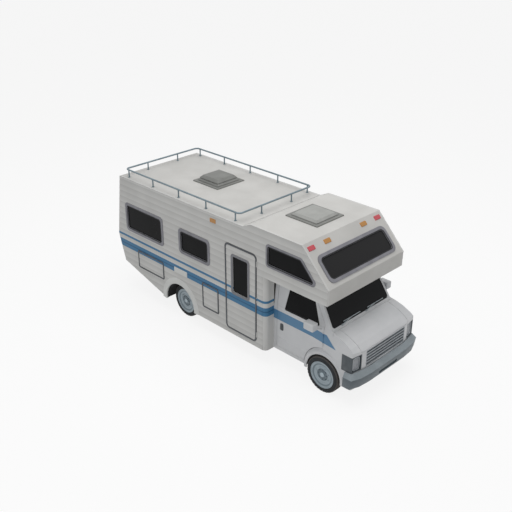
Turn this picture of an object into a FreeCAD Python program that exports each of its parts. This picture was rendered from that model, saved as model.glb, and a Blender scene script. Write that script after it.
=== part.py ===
import FreeCAD, Part
import math
import os

os.makedirs("parts", exist_ok=True)

# A class C motorhome: a coach box with a bunk over the cab, on a cutaway van chassis.
# Millimetres. X runs forward, Y to the left, Z up. The origin is on the ground,
# under the middle of the overall length and width.

V = FreeCAD.Vector

# Overall sizes
WHEELBASE = 4080.0
FRONT_OVERHANG = 840.0
REAR_OVERHANG = 2235.0
FRONT_AXLE_X = (WHEELBASE + REAR_OVERHANG - FRONT_OVERHANG) / 2
REAR_AXLE_X = FRONT_AXLE_X - WHEELBASE
TAIL_X = REAR_AXLE_X - REAR_OVERHANG
GAP = 6.0                 # round every door, hatch and lid
FIT = 0.3                 # running clearance of pins and shafts
SEAM = 0.3                # between curved pieces that seat on each other

# Coach box
COACH_WIDTH = 2340.0
COACH_HALF = COACH_WIDTH / 2
WALL = 40.0
COACH_FRONT_X = FRONT_AXLE_X - 1385.0
SKIRT_Z = 340.0
ROOF_Z = 2955.0
BUNK_ROOF_Z = 3060.0
BUNK_BOTTOM_Z = 2040.0
BELT_Z = 1447.0
TAIL_BOTTOM_Z = 778.0
TAIL_TOP_LEAN = 230.0
TAIL_BOTTOM_LEAN = 195.0
RAMP_FOOT = 645.0         # behind the coach front
RAMP_TOP = 425.0
BROW = 895.0              # ahead of the coach front
BUNK_REACH = 1555.0
LIP_REACH = 1547.0
NOSE_Z = 2363.0
UPSWEEP_START = 490.0     # behind the rear axle
CORNER_RADIUS = 100.0

# Coach floor
FLOOR_Z = 760.0
FLOOR_THICK = 40.0

# Windows: a frame flange on the wall, a sleeve through it and a pane
FRAME_WIDTH = 85.0
FRAME_PROUD = 14.0
FRAME_SEAT = 25.0         # how far the flange covers the wall
FRAME_RADIUS = 95.0
GLASS_RADIUS = 50.0
GLASS_THICK = 6.0
GLASS_INSET = 8.0
REAR_SIDE_WINDOW = (360.0, 1745.0, 1645.0, 2352.0)      # from the tail, and heights
MID_SIDE_WINDOW = (-2645.0, -1635.0, 1706.0, 2306.0)    # from the coach front
DINETTE_WINDOW = (-1180.0, -247.0, 1706.0, 2306.0)
NOSE_WINDOW_HALF = 1020.0
NOSE_WINDOW_TOP = 295.0   # down the sloped face from the brow
NOSE_WINDOW_BOTTOM = 880.0
NOSE_WINDOW_CORNER = 130.0
REAR_WINDOW_HALF = 700.0
REAR_WINDOW_Z = (1700.0, 2300.0)
BUNK_WINDOW_REAR = 0.0
BUNK_WINDOW_FRONT = 300.0   # behind the nose
BUNK_WINDOW_TIP = 115.0
BUNK_WINDOW_Z = (2317.0, 2803.0)
BUNK_FRAME_WIDTH = 62.0
BUNK_FRAME_RADIUS = 70.0
BUNK_GLASS_RADIUS = 30.0

# Entry door and storage hatches
ENTRY_X = (-1177.0, -247.0)       # from the coach front
ENTRY_Z = (440.0, 2465.0)
ENTRY_CORNER = 110.0
ENTRY_WINDOW = (190.0, 725.0, 1334.0, 2258.0)   # from the door's rear edge, and heights
ENTRY_FRAME_WIDTH = 55.0
ENTRY_FRAME_RADIUS = 70.0
ENTRY_GLASS_RADIUS = 35.0
HATCH_CORNER = 55.0
TAIL_HATCH_X = (717.0, 1692.0)    # from the tail
TAIL_HATCH_Z = (775.0, 1235.0)
MID_HATCH_X = (-1925.0, -1390.0)  # from the coach front
MID_HATCH_Z = (628.0, 1250.0)
LOCKER_DEPTH = 480.0
LOCKER_WALL = 15.0
STEP_WELL_DEPTH = 410.0
STEP_TREAD = 210.0
STEP_Z = 605.0
STEP_SHEET = 15.0

# Cab widths, on which the front wheels' places hang
CAB_STEP = 238.0          # from the coach's side in to the cab's
CAB_HALF = COACH_HALF - CAB_STEP
FENDER_FLARE = 68.0
FENDER_HALF = CAB_HALF + FENDER_FLARE

# Wheels
TYRE_RADIUS = 388.0
TYRE_WIDTH = 210.0
TYRE_BORE = 288.0
TYRE_SHOULDER = 38.0
TYRE_BEAD = 8.0
TYRE_SIDES = 48
WHEEL_DISH = 45.0
FRONT_WHEEL_FACE = FENDER_HALF + 37.0
REAR_WHEEL_FACE = COACH_HALF - 145.0
TWIN_SPACING = 250.0
ARCH_RADIUS = 480.0
WELL_SHEET = 15.0
WELL_INNER_Y = REAR_WHEEL_FACE - TWIN_SPACING - TYRE_WIDTH - 35.0
HUB_RADIUS = 70.0

# Steering and axles
KINGPIN_Y = FRONT_WHEEL_FACE - 202.0
KINGPIN_RADIUS = 15.0
EYE_RADIUS = 34.0
EYE_HEIGHT = 110.0
SPINDLE_RADIUS = 28.0
ARM_LENGTH = 170.0
ROD_RADIUS = 14.0
ROD_Z = 266.0
ROD_PIN_RADIUS = 9.0
ROD_EYE_RADIUS = 22.0
ROD_EYE_HALF = 16.0
ARM_HALF = 18.0
BEAM_HALF = 30.0
BEAM_DROP = 40.0
BEAM_DEPTH = 60.0
BEAM_STEP = 150.0
YOKE_SLACK = 6.0
YOKE_LUG = 24.0
YOKE_HALF = 34.0
DISC_RADIUS = 150.0
DISC_THICK = 22.0
STUB_SHORT = 4.0
DIFF_RADIUS = 150.0
DIFF_HALF = 130.0
AXLE_TUBE = 48.0
AXLE_NOSE = 170.0
AXLE_NOSE_RISE = 30.0
AXLE_NOSE_RADIUS = 65.0

# Springs
LEAF_HALF = 32.0
LEAF_THICK = 11.0
LEAF_EYE = 18.0
SHACKLE = 30.0
FRONT_SPRING = 480.0
REAR_SPRING = 640.0

# Frame
RAIL_HALF = 430.0
RAIL_WIDTH = 70.0
RAIL_SHEET = 8.0
RAIL_Z = (500.0, 680.0)
CROSS_WIDTH = 60.0
CROSS_Z = (580.0, 660.0)
CROSS_X = (1500.0, 640.0, -580.0, -1350.0)    # from the rear axle
JOIST_X = (600.0, -620.0, -1300.0)            # from the rear axle
JOIST_CLEAR = 75.0                            # behind the entry step
TAIL_JOIST = 400.0
JACK_X = (2000.0, -2400.0)
JACK_PAD_LENGTH = 120.0
JACK_PAD_INSET = 5.0
JACK_PAD_THICK = 8.0
HITCH_HOLE = 13.0
HITCH_DEPTH = 60.0
HITCH_PLATE = 16.0
HITCH_REACH = 90.0
HITCH_HALF = 45.0

# Engine, drive, tank and exhaust
ENGINE_X = (-420.0, 330.0)        # from the front axle
ENGINE_Z = (430.0, 1040.0)
ENGINE_HALF = 280.0
GEARBOX_LENGTH = 700.0
GEARBOX_MOUNT_X = -820.0
GEARBOX_MOUNT_Z = (395.0, 425.0)
BELL_RADIUS = 138.0
GEARBOX_RADIUS = 75.0
DRIVE_Z = 538.0
SHAFT_RADIUS = 35.0
RADIATOR_X = 560.0
RADIATOR_TOP = 1050.0
TANK_BEHIND = 700.0               # behind the rear axle
TANK_LENGTH = 560.0
TANK_HALF = 340.0
TANK_Z = (430.0, 640.0)
TANK_CORNER = 50.0
EXHAUST_OFFSET = 60.0             # outside the rail
EXHAUST_RADIUS = 25.0
EXHAUST_Z = 510.0
SILENCER_RADIUS = 90.0
SILENCER_LENGTH = 600.0
SILENCER_RIM = 12.0

# Cab
CAB_BOTTOM_Z = 350.0
CAB_SKIN = 40.0
SCREEN_BASE_X = 112.0     # ahead of the front axle
SCREEN_BASE_Z = 1388.0
SCREEN_RUN = 0.616        # how far the screen leans back for each unit of height
NOSE_FACE_X = 716.0
GRILLE_TOP_Z = 1107.0
FENDER_TOP_Z = 1300.0
FIREWALL_X = -60.0
CAB_FLOOR_THICK = 25.0
DOOR_REAR = -1300.0
DOOR_FRONT = -60.0
DOOR_Z = (430.0, 1960.0)
DOOR_ARCH_RADIUS = 540.0
HOOD_REAR = 165.0
HOOD_HALF = FENDER_HALF - 240.0
GRILLE_HALF = FENDER_HALF - 382.0
GRILLE_Z = (741.0, 1090.0)
GRILLE_BARS = 4
LAMP_Y = (FENDER_HALF - 265.0, FENDER_HALF)
LAMP_Z = (725.0, 1072.0)
LAMP_REAR = 430.0

# Wipers
WIPER_PIVOTS = (-620.0, 130.0)
WIPER_HUB = 10.0
WIPER_LIFT = 7.0
WIPER_HALF = 7.0
WIPER_LENGTH = 520.0
WIPER_PARK = 9.0

# Bumper
BUMPER_Z = (425.0, 698.0)
BUMPER_HALF = FENDER_HALF + 75.0
BUMPER_SHEET = 25.0
BUMPER_RAKE = 35.0

# Roof
RAIL_TUBE = 19.0
RACK_Z = 3131.0
RACK_INSET = 94.0
RACK_REAR = 365.0         # ahead of the tail
RACK_FRONT = -832.0       # behind the coach front
RACK_CORNER = 90.0
POST_INSET = 110.0
POST_RADIUS = 15.0
POST_FOOT = 8.0
LONG_POSTS = 5
END_POST_Y = 447.0
VENT_SIZE = 820.0
VENT_FLANGE = 20.0
VENT_LID = 660.0
VENT_LID_HEIGHT = 50.0
VENT_LID_RIM = 8.0
VENT_LID_SHEET = 12.0
VENT_OPENING = 560.0
REAR_VENT_X = -140.0      # from the rear axle
REAR_VENT_Y = 210.0
FRONT_VENT_X = 170.0      # from the coach front
FRONT_VENT_Y = 30.0

# Hinges: barrel, pin and leaf
HINGE_RADIUS = 8.0
PIN_RADIUS = 4.0
HINGE_LEAF = 3.0
HINGE_SINK = 1.0
HINGE_SLACK = 1.0
HINGE_REACH = 28.0
HINGE_INSET = 200.0
ENTRY_HINGE = 120.0
HATCH_HINGE = 120.0
HOOD_HINGE = 90.0
CAB_DOOR_HINGE = 90.0
CAB_DOOR_HINGE_Z = (1040.0, 1240.0)
HOOD_HINGE_Y = 450.0
VENT_HINGE = 240.0
HINGE_LIFT = HINGE_RADIUS + 1.5


# Basic solids

def box(x0, x1, y0, y1, z0, z1):
    return Part.makeBox(x1 - x0, y1 - y0, z1 - z0, V(x0, y0, z0))


def rod(radius, start, end):
    run = end - start
    return Part.makeCylinder(radius, run.Length, start, run)


def filled(points):
    return Part.Face(Part.makePolygon(points + [points[0]]))


def prism_y(outline, y0, y1):
    return filled([V(x, y0, z) for x, z in outline]).extrude(V(0, y1 - y0, 0))


def prism_z(outline, z0, z1):
    return filled([V(x, y, z0) for x, y in outline]).extrude(V(0, 0, z1 - z0))


def prism_x(outline, x0, x1):
    return filled([V(x0, y, z) for y, z in outline]).extrude(V(x1 - x0, 0, 0))


def mirrored(shape):
    return shape.mirror(V(0, 0, 0), V(0, 1, 0))


def both_sides(shape):
    return [shape, mirrored(shape)]


def fused(shapes):
    body = shapes[0]
    for other in shapes[1:]:
        body = body.fuse(other)
    return body.removeSplitter()


def save(name, shapes):
    if not isinstance(shapes, list):
        shapes = [shapes]
    solids = []
    for shape in shapes:
        solids.extend(shape.Solids)
    body = solids[0] if len(solids) == 1 else Part.makeCompound(solids)
    body.exportStep("parts/" + name + ".step")


# Outlines

def rectangle(u0, u1, v0, v1):
    return [(u0, v0), (u1, v0), (u1, v1), (u0, v1)]


def line_crossing(p, d, q, e):
    """Where the line through p along d meets the line through q along e."""
    cross = d[0] * e[1] - d[1] * e[0]
    t = ((q[0] - p[0]) * e[1] - (q[1] - p[1]) * e[0]) / cross
    return (p[0] + t * d[0], p[1] + t * d[1])


def inset(outline, distance):
    """The outline with every edge moved inwards by a distance."""
    count = len(outline)
    area = sum(outline[i - 1][0] * outline[i][1] - outline[i][0] * outline[i - 1][1]
               for i in range(count))
    side = 1.0 if area > 0 else -1.0
    moved = []
    for i in range(count):
        (u0, v0), (u1, v1) = outline[i], outline[(i + 1) % count]
        length = math.hypot(u1 - u0, v1 - v0)
        direction = ((u1 - u0) / length, (v1 - v0) / length)
        shift = (-direction[1] * side * distance, direction[0] * side * distance)
        moved.append(((u0 + shift[0], v0 + shift[1]), direction))
    return [line_crossing(*moved[i - 1], *moved[i]) for i in range(count)]


def rounded(outline, radius):
    """A closed wire in the XY plane, with an arc at each corner of the outline."""
    points = [V(u, v, 0) for u, v in outline]
    corners = []
    for i, corner in enumerate(points):
        before = (points[i - 1] - corner).normalize()
        after = (points[(i + 1) % len(points)] - corner).normalize()
        half = before.getAngle(after) / 2
        reach = radius / math.tan(half)
        middle = corner + (before + after).normalize() * (radius / math.sin(half) - radius)
        corners.append((corner + before * reach, middle, corner + after * reach))
    edges = []
    for i, (start, middle, end) in enumerate(corners):
        edges.append(Part.Arc(start, middle, end).toShape())
        edges.append(Part.makeLine(end, corners[(i + 1) % len(corners)][0]))
    return Part.Wire(edges)


def plate(wire, w0, w1):
    """A flat plate on the XY plane from height w0 to w1."""
    face = Part.Face(wire)
    face.translate(V(0, 0, w0))
    return face.extrude(V(0, 0, w1 - w0))


def wall_frame(origin, up, out):
    """The place of a drawing on a wall: u along it, v up it, w out of it."""
    up = V(up).normalize()
    out = V(out).normalize()
    return FreeCAD.Placement(origin, FreeCAD.Rotation(up.cross(out), up, out))


def placed(shape, place):
    moved = shape.copy()
    moved.Placement = place.multiply(moved.Placement)
    return moved


# The coach's side profile, in X and Z, from the lower tail corner round by the roof

def coach_profile():
    return [
        (TAIL_X + TAIL_BOTTOM_LEAN, TAIL_BOTTOM_Z),
        (TAIL_X, BELT_Z),
        (TAIL_X + TAIL_TOP_LEAN, ROOF_Z),
        (COACH_FRONT_X - RAMP_FOOT, ROOF_Z),
        (COACH_FRONT_X - RAMP_TOP, BUNK_ROOF_Z),
        (COACH_FRONT_X + BROW, BUNK_ROOF_Z),
        (COACH_FRONT_X + BUNK_REACH, NOSE_Z),
        (COACH_FRONT_X + LIP_REACH, BUNK_BOTTOM_Z),
        (COACH_FRONT_X, BUNK_BOTTOM_Z),
        (COACH_FRONT_X, SKIRT_Z),
        (REAR_AXLE_X - UPSWEEP_START, SKIRT_Z),
    ]


def coach_strip(first, last):
    """The wall between two corners of the profile, between the side walls."""
    outer = coach_profile()
    inner = inset(outer, WALL)
    outline = outer[first:last + 1] + inner[first:last + 1][::-1]
    inside = COACH_HALF - WALL
    return prism_y(outline, -inside, inside)


RIGHT_WALL = wall_frame(V(0, -COACH_HALF, 0), V(0, 0, 1), V(0, -1, 0))


def nose_frame():
    brow, nose = coach_profile()[5:7]
    down = V(nose[0] - brow[0], 0, nose[1] - brow[1])
    return wall_frame(V(brow[0], 0, brow[1]), down * -1, V(-down.z, 0, down.x))


def rear_frame():
    kink, top = coach_profile()[1:3]
    up = V(top[0] - kink[0], 0, top[1] - kink[1])
    return wall_frame(V(kink[0], 0, kink[1]), up, V(-up.z, 0, up.x))


# Windows

def window(outline, place, width=FRAME_WIDTH, radius=FRAME_RADIUS, glass_radius=GLASS_RADIUS,
           pane_outline=None):
    """The wall's cut, the frame and the pane of one window."""
    pane = rounded(inset(pane_outline or outline, width), glass_radius)
    hole = rounded(inset(outline, FRAME_SEAT), radius - FRAME_SEAT)
    flange = plate(rounded(outline, radius), 0, FRAME_PROUD)
    sleeve = plate(hole, -WALL, 0)
    frame = flange.fuse(sleeve).cut(plate(pane, -WALL, FRAME_PROUD)).removeSplitter()
    glass = plate(pane, -GLASS_INSET - GLASS_THICK, -GLASS_INSET)
    cut = plate(hole, -WALL * 2, WALL)
    return [placed(shape, place) for shape in (cut, frame, glass)]


def side_windows():
    """The windows of the right wall that the left wall mirrors."""
    x0, x1, z0, z1 = REAR_SIDE_WINDOW
    rear = window(rectangle(TAIL_X + x0, TAIL_X + x1, z0, z1), RIGHT_WALL)
    x0, x1, z0, z1 = MID_SIDE_WINDOW
    middle = window(rectangle(COACH_FRONT_X + x0, COACH_FRONT_X + x1, z0, z1), RIGHT_WALL)
    return [rear, middle, bunk_side_window()]


def bunk_side_window():
    """The bunk's window: its front edge slopes with the nose, its front tip is cut upright."""
    brow, nose = coach_profile()[5:7]
    z0, z1 = BUNK_WINDOW_Z
    x0 = COACH_FRONT_X + BUNK_WINDOW_REAR
    lean = (nose[0] - brow[0]) / (brow[1] - nose[1])
    tip = nose[0] - BUNK_WINDOW_FRONT
    knee = z0 + BUNK_WINDOW_TIP
    upper = tip - (z1 - knee) * lean
    outline = [(x0, z0), (tip, z0), (tip, knee), (upper, z1), (x0, z1)]
    sloped = [(x0, z0), (tip + BUNK_WINDOW_TIP * lean, z0), (upper, z1), (x0, z1)]
    return window(outline, RIGHT_WALL, BUNK_FRAME_WIDTH, BUNK_FRAME_RADIUS, BUNK_GLASS_RADIUS, sloped)


def nose_window():
    outline = rectangle(-NOSE_WINDOW_HALF, NOSE_WINDOW_HALF, -NOSE_WINDOW_BOTTOM, -NOSE_WINDOW_TOP)
    return window(outline, nose_frame(), radius=NOSE_WINDOW_CORNER, glass_radius=70.0)


def rear_window():
    lean = math.hypot(ROOF_Z - BELT_Z, TAIL_TOP_LEAN) / (ROOF_Z - BELT_Z)
    v0, v1 = ((z - BELT_Z) * lean for z in REAR_WINDOW_Z)
    return window(rectangle(-REAR_WINDOW_HALF, REAR_WINDOW_HALF, v0, v1), rear_frame())


def dinette_window():
    """The left wall's window where the right wall has its door."""
    x0, x1, z0, z1 = DINETTE_WINDOW
    outline = rectangle(COACH_FRONT_X + x0, COACH_FRONT_X + x1, z0, z1)
    return [mirrored(shape) for shape in window(outline, RIGHT_WALL)]


# Hinges

def hinge_knuckle(start, end, side, out):
    """One barrel of a hinge with the strap that lies on the skin beside it."""
    foot = start - out * (HINGE_LIFT + HINGE_SINK)
    rise = out * (HINGE_LEAF + HINGE_SINK)
    reach = side * HINGE_REACH
    strap = filled([foot, foot + reach, foot + reach + rise, foot + rise]).extrude(end - start)
    return rod(HINGE_RADIUS, start, end).fuse(strap)


def hinge_half(place, moving):
    """Half of a hinge over the gap in a skin: the panel's barrel, or the two on the body."""
    origin, along, to_panel, out, length = place
    along, to_panel, out = (V(v).normalize() for v in (along, to_panel, out))
    third = along * (length / 3)
    slack = along * HINGE_SLACK
    start = origin + out * HINGE_LIFT - along * (length / 2)
    end = start + third * 3
    if moving:
        barrel = hinge_knuckle(start + third, start + third * 2, to_panel, out)
        return barrel.cut(rod(PIN_RADIUS + FIT, start, end))
    first = hinge_knuckle(start, start + third - slack, to_panel * -1, out)
    last = hinge_knuckle(start + third * 2 + slack, end, to_panel * -1, out)
    return fused([first, last, rod(PIN_RADIUS, start, end)])


def hinged(shape, places, moving):
    return fused([shape] + [hinge_half(place, moving) for place in places])


# Coach panels

def entry_outline(margin=0.0):
    x0, x1 = (COACH_FRONT_X + x for x in ENTRY_X)
    return inset(rectangle(x0, x1, *ENTRY_Z), margin)


def tail_hatch_outline():
    x0, x1 = (TAIL_X + x for x in TAIL_HATCH_X)
    return rectangle(x0, x1, *TAIL_HATCH_Z)


def mid_hatch_outline():
    x0, x1 = (COACH_FRONT_X + x for x in MID_HATCH_X)
    return rectangle(x0, x1, *MID_HATCH_Z)


def wall_cut(outline, radius):
    return placed(plate(rounded(outline, radius), -WALL * 2, WALL), RIGHT_WALL)


def wall_panel(outline, radius):
    """A door or hatch leaf that fills an opening of the right wall, less the gap."""
    wire = rounded(inset(outline, GAP), radius - GAP)
    return placed(plate(wire, -WALL, 0), RIGHT_WALL)


def entry_hinges():
    edge = COACH_FRONT_X + ENTRY_X[1] - GAP / 2
    low, high = ENTRY_Z
    return [(V(edge, -COACH_HALF, z), V(0, 0, 1), V(-1, 0, 0), V(0, -1, 0), ENTRY_HINGE)
            for z in (low + HINGE_INSET, (low + high) / 2, high - HINGE_INSET)]


def hatch_hinges(outline):
    (x0, z0), (x1, z1) = outline[0], outline[2]
    spread = (x1 - x0) / 4
    return [(V(x, -COACH_HALF, z1 - GAP / 2), V(1, 0, 0), V(0, 0, -1), V(0, -1, 0), HATCH_HINGE)
            for x in (x0 + spread, x1 - spread)]


def side_wall(hatches):
    """The right wall without its entry doorway: skirt, belt and bunk side in one panel."""
    wall = prism_y(coach_profile(), -COACH_HALF, -COACH_HALF + WALL)
    wall = wall.cut(box(COACH_FRONT_X - CORNER_RADIUS, COACH_FRONT_X + WALL, -COACH_HALF - WALL,
                        -COACH_HALF + WALL * 2, SKIRT_Z - WALL, BUNK_BOTTOM_Z))
    wall = wall.fuse(coach_corner())
    wall = wall.cut(rod(ARCH_RADIUS, V(REAR_AXLE_X, -COACH_HALF - WALL, TYRE_RADIUS),
                        V(REAR_AXLE_X, -COACH_HALF + WALL * 2, TYRE_RADIUS)))
    places = []
    for outline in hatches:
        wall = wall.cut(wall_cut(outline, HATCH_CORNER))
        places.extend(hatch_hinges(outline))
    for cut, frame, glass in side_windows():
        wall = wall.cut(cut)
    return hinged(wall, places, False)


def coach_corner():
    """The rounded upright corner beside the cab, with the return to the cab's side."""
    far = COACH_FRONT_X - CORNER_RADIUS
    centre = V(far, -COACH_HALF + CORNER_RADIUS, SKIRT_Z)
    inner = CORNER_RADIUS - WALL
    diagonal = V(1, -1, 0).normalize()
    outer_arc = Part.Arc(centre + V(0, -CORNER_RADIUS, 0), centre + diagonal * CORNER_RADIUS,
                         centre + V(CORNER_RADIUS, 0, 0)).toShape()
    inner_arc = Part.Arc(centre + V(inner, 0, 0), centre + diagonal * inner,
                         centre + V(0, -inner, 0)).toShape()
    points = [centre + V(CORNER_RADIUS, 0, 0), V(COACH_FRONT_X, -CAB_HALF, SKIRT_Z),
              V(COACH_FRONT_X - WALL, -CAB_HALF, SKIRT_Z), centre + V(inner, 0, 0)]
    lines = [Part.makeLine(points[i], points[i + 1]) for i in range(3)]
    closing = Part.makeLine(centre + V(0, -inner, 0), centre + V(0, -CORNER_RADIUS, 0))
    wire = Part.Wire([outer_arc] + lines + [inner_arc, closing])
    return Part.Face(wire).extrude(V(0, 0, BUNK_BOTTOM_Z - SKIRT_Z))


def corner_loss(z0, z1):
    """What the rounded front corners take from a square floor."""
    far = COACH_FRONT_X - CORNER_RADIUS
    y = -COACH_HALF + CORNER_RADIUS
    block = box(far, COACH_FRONT_X, -COACH_HALF, y, z0, z1)
    block = block.cut(rod(CORNER_RADIUS - WALL - SEAM, V(far, y, z0), V(far, y, z1)))
    return block.fuse(mirrored(block))


def coach_walls():
    right = side_wall([tail_hatch_outline(), mid_hatch_outline()])
    right = right.cut(wall_cut(entry_outline(), ENTRY_CORNER))
    save("side_wall_right", hinged(right, entry_hinges(), False))
    left = mirrored(side_wall([tail_hatch_outline()]))
    save("side_wall_left", left.cut(dinette_window()[0]))
    save("rear_wall", coach_strip(0, 2).cut(rear_window()[0]))
    save("main_roof", coach_strip(2, 3).cut(vent_cut(*rear_vent_place())))
    shell = coach_strip(3, 8).cut(nose_window()[0])
    save("bunk_shell", shell.cut(vent_cut(*front_vent_place())))


def coach_windows():
    frames = []
    panes = []
    for cut, frame, glass in side_windows():
        frames.extend(both_sides(frame))
        panes.extend(both_sides(glass))
    for cut, frame, glass in (nose_window(), rear_window(), dinette_window()):
        frames.append(frame)
        panes.append(glass)
    save("window_frames", frames)
    save("coach_glass", panes)


def entry_door():
    x0, x1, z0, z1 = ENTRY_WINDOW
    rear = COACH_FRONT_X + ENTRY_X[0]
    outline = rectangle(rear + x0, rear + x1, z0, z1)
    cut, frame, glass = window(outline, RIGHT_WALL, ENTRY_FRAME_WIDTH, ENTRY_FRAME_RADIUS,
                               ENTRY_GLASS_RADIUS)
    leaf = wall_panel(entry_outline(), ENTRY_CORNER).cut(cut).fuse(frame)
    save("entry_door", hinged(leaf, entry_hinges(), True))
    save("entry_door_glass", glass)


def hatches():
    tail = tail_hatch_outline()
    door = hinged(wall_panel(tail, HATCH_CORNER), hatch_hinges(tail), True)
    save("hatch_tail_right", door)
    save("hatch_tail_left", mirrored(door))
    middle = mid_hatch_outline()
    save("hatch_mid_right", hinged(wall_panel(middle, HATCH_CORNER), hatch_hinges(middle), True))


def locker_block(outline):
    """The outside of the open-fronted box behind a hatch."""
    (x0, z0), (x1, z1) = outline[0], outline[2]
    sheet = LOCKER_WALL
    back = -COACH_HALF + WALL + LOCKER_DEPTH
    return box(x0 - sheet, x1 + sheet, -COACH_HALF + WALL, back, z0 - sheet, z1 + sheet)


def locker(outline):
    (x0, z0), (x1, z1) = outline[0], outline[2]
    back = -COACH_HALF + WALL + LOCKER_DEPTH
    return locker_block(outline).cut(box(x0, x1, -COACH_HALF, back - LOCKER_WALL, z0, z1))


def coach_floor():
    """Floor slab with the rear wheel wells, and the step well and lockers that it carries."""
    low = FLOOR_Z - FLOOR_THICK
    inside = COACH_HALF - WALL
    profile = inset(coach_profile(), WALL)
    slab = prism_y(profile, -inside, inside)
    slab = slab.common(box(TAIL_X, COACH_FRONT_X, -inside, inside, low, FLOOR_Z))
    for sign in (-1, 1):
        outer = rod(ARCH_RADIUS + WELL_SHEET, V(REAR_AXLE_X, sign * WELL_INNER_Y, TYRE_RADIUS),
                    V(REAR_AXLE_X, sign * inside, TYRE_RADIUS))
        outer = outer.common(box(TAIL_X, COACH_FRONT_X, -inside, inside, low, ROOF_Z))
        well_y = sign * (WELL_INNER_Y + WELL_SHEET)
        inner = rod(ARCH_RADIUS, V(REAR_AXLE_X, well_y, TYRE_RADIUS),
                    V(REAR_AXLE_X, sign * COACH_HALF, TYRE_RADIUS))
        slab = slab.fuse(outer).cut(inner)
    slab = slab.cut(corner_loss(low, FLOOR_Z)).cut(step_well())
    slab = slab.cut(locker_block(mid_hatch_outline())).removeSplitter()
    tail = locker(tail_hatch_outline())
    return [slab, step_well().cut(step_space()), tail, mirrored(tail), locker(mid_hatch_outline())]


def step_well():
    (x0, x1) = (COACH_FRONT_X + x for x in ENTRY_X)
    inside = -COACH_HALF + WALL
    return box(x0, x1, inside, inside + STEP_WELL_DEPTH, ENTRY_Z[0], FLOOR_Z)


def step_space():
    (x0, x1) = (COACH_FRONT_X + x for x in ENTRY_X)
    inside = -COACH_HALF + WALL
    x0 += STEP_SHEET
    x1 -= STEP_SHEET
    low = box(x0, x1, inside - 1, inside + STEP_TREAD, ENTRY_Z[0] + STEP_SHEET, FLOOR_Z)
    high = box(x0, x1, inside - 1, inside + STEP_WELL_DEPTH - STEP_SHEET, STEP_Z, FLOOR_Z)
    return low.fuse(high)


# Roof fittings

def rear_vent_place():
    return (REAR_AXLE_X + REAR_VENT_X, REAR_VENT_Y, ROOF_Z)


def front_vent_place():
    return (COACH_FRONT_X + FRONT_VENT_X, FRONT_VENT_Y, BUNK_ROOF_Z)


def square(x, y, half, z0, z1):
    return box(x - half, x + half, y - half, y + half, z0, z1)


def vent_cut(x, y, z):
    return square(x, y, VENT_OPENING / 2, z - WALL * 2, z + WALL)


def vent_hinges(x, y, z):
    edge = V(x - VENT_LID / 2 - GAP / 2, y, z + VENT_FLANGE + GAP)
    return [(edge, V(0, 1, 0), V(1, 0, 0), V(0, 0, 1), VENT_HINGE)]


def vent_base(x, y, z):
    """The flange round a roof opening, with a raised seat for the lid's hinge."""
    top = z + VENT_FLANGE
    flange = square(x, y, VENT_SIZE / 2, z, top).cut(square(x, y, VENT_OPENING / 2, z, top))
    edge = x - VENT_LID / 2 - GAP
    seat = box(edge - HINGE_REACH, edge, y - VENT_HINGE / 2, y + VENT_HINGE / 2, top, top + GAP)
    return hinged(flange.fuse(seat), vent_hinges(x, y, z), False)


def vent_lid(x, y, z):
    """A shallow pyramid lid, hollow below, hinged at its rear edge."""
    base = z + VENT_FLANGE + GAP
    half = VENT_LID / 2
    steps = []
    for reach, height in ((half, 0.0), (half, VENT_LID_RIM), (half - VENT_LID_HEIGHT, VENT_LID_HEIGHT)):
        corners = [V(x + u, y + v, base + height) for u, v in rectangle(-reach, reach, -reach, reach)]
        steps.append(Part.makePolygon(corners + [corners[0]]))
    lid = Part.makeLoft(steps, True, True)
    lid = lid.cut(square(x, y, half - VENT_LID_SHEET * 2, base, base + VENT_LID_SHEET))
    notch = VENT_HINGE / 2 + GAP
    lid = lid.cut(box(x - half, x - half + VENT_LID_SHEET, y - notch, y + notch, base, base + VENT_LID_HEIGHT))
    return hinged(lid, vent_hinges(x, y, z), True)


def roof_vents():
    save("vent_bases", [vent_base(*rear_vent_place()), vent_base(*front_vent_place())])
    save("vent_lid_rear", vent_lid(*rear_vent_place()))
    save("vent_lid_front", vent_lid(*front_vent_place()))


def rack_rail():
    """The rack's closed rail: straight runs with a bend at each corner."""
    x0 = TAIL_X + RACK_REAR
    x1 = COACH_FRONT_X + RACK_FRONT
    y1 = COACH_HALF - RACK_INSET
    path = rounded(rectangle(x0, x1, -y1, y1), RACK_CORNER)
    path.translate(V(0, 0, RACK_Z))
    pieces = []
    for edge in path.Edges:
        start = edge.valueAt(edge.FirstParameter)
        circle = Part.makeCircle(RAIL_TUBE, start, edge.tangentAt(edge.FirstParameter))
        pieces.append(Part.Wire([edge]).makePipe(Part.Face(Part.Wire([circle]))))
    return pieces


def rack_posts():
    x0 = TAIL_X + RACK_REAR + POST_INSET
    x1 = COACH_FRONT_X + RACK_FRONT - POST_INSET
    y1 = COACH_HALF - RACK_INSET
    places = []
    for i in range(LONG_POSTS):
        x = x0 + (x1 - x0) * i / (LONG_POSTS - 1)
        places.extend([(x, -y1), (x, y1)])
    for x in (x0 - POST_INSET, x1 + POST_INSET):
        places.extend([(x, -END_POST_Y), (x, END_POST_Y)])
    posts = []
    for x, y in places:
        posts.append(rod(POST_RADIUS, V(x, y, ROOF_Z), V(x, y, RACK_Z)))
        posts.append(rod(POST_RADIUS * 2, V(x, y, ROOF_Z), V(x, y, ROOF_Z + POST_FOOT)))
    return posts


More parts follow.
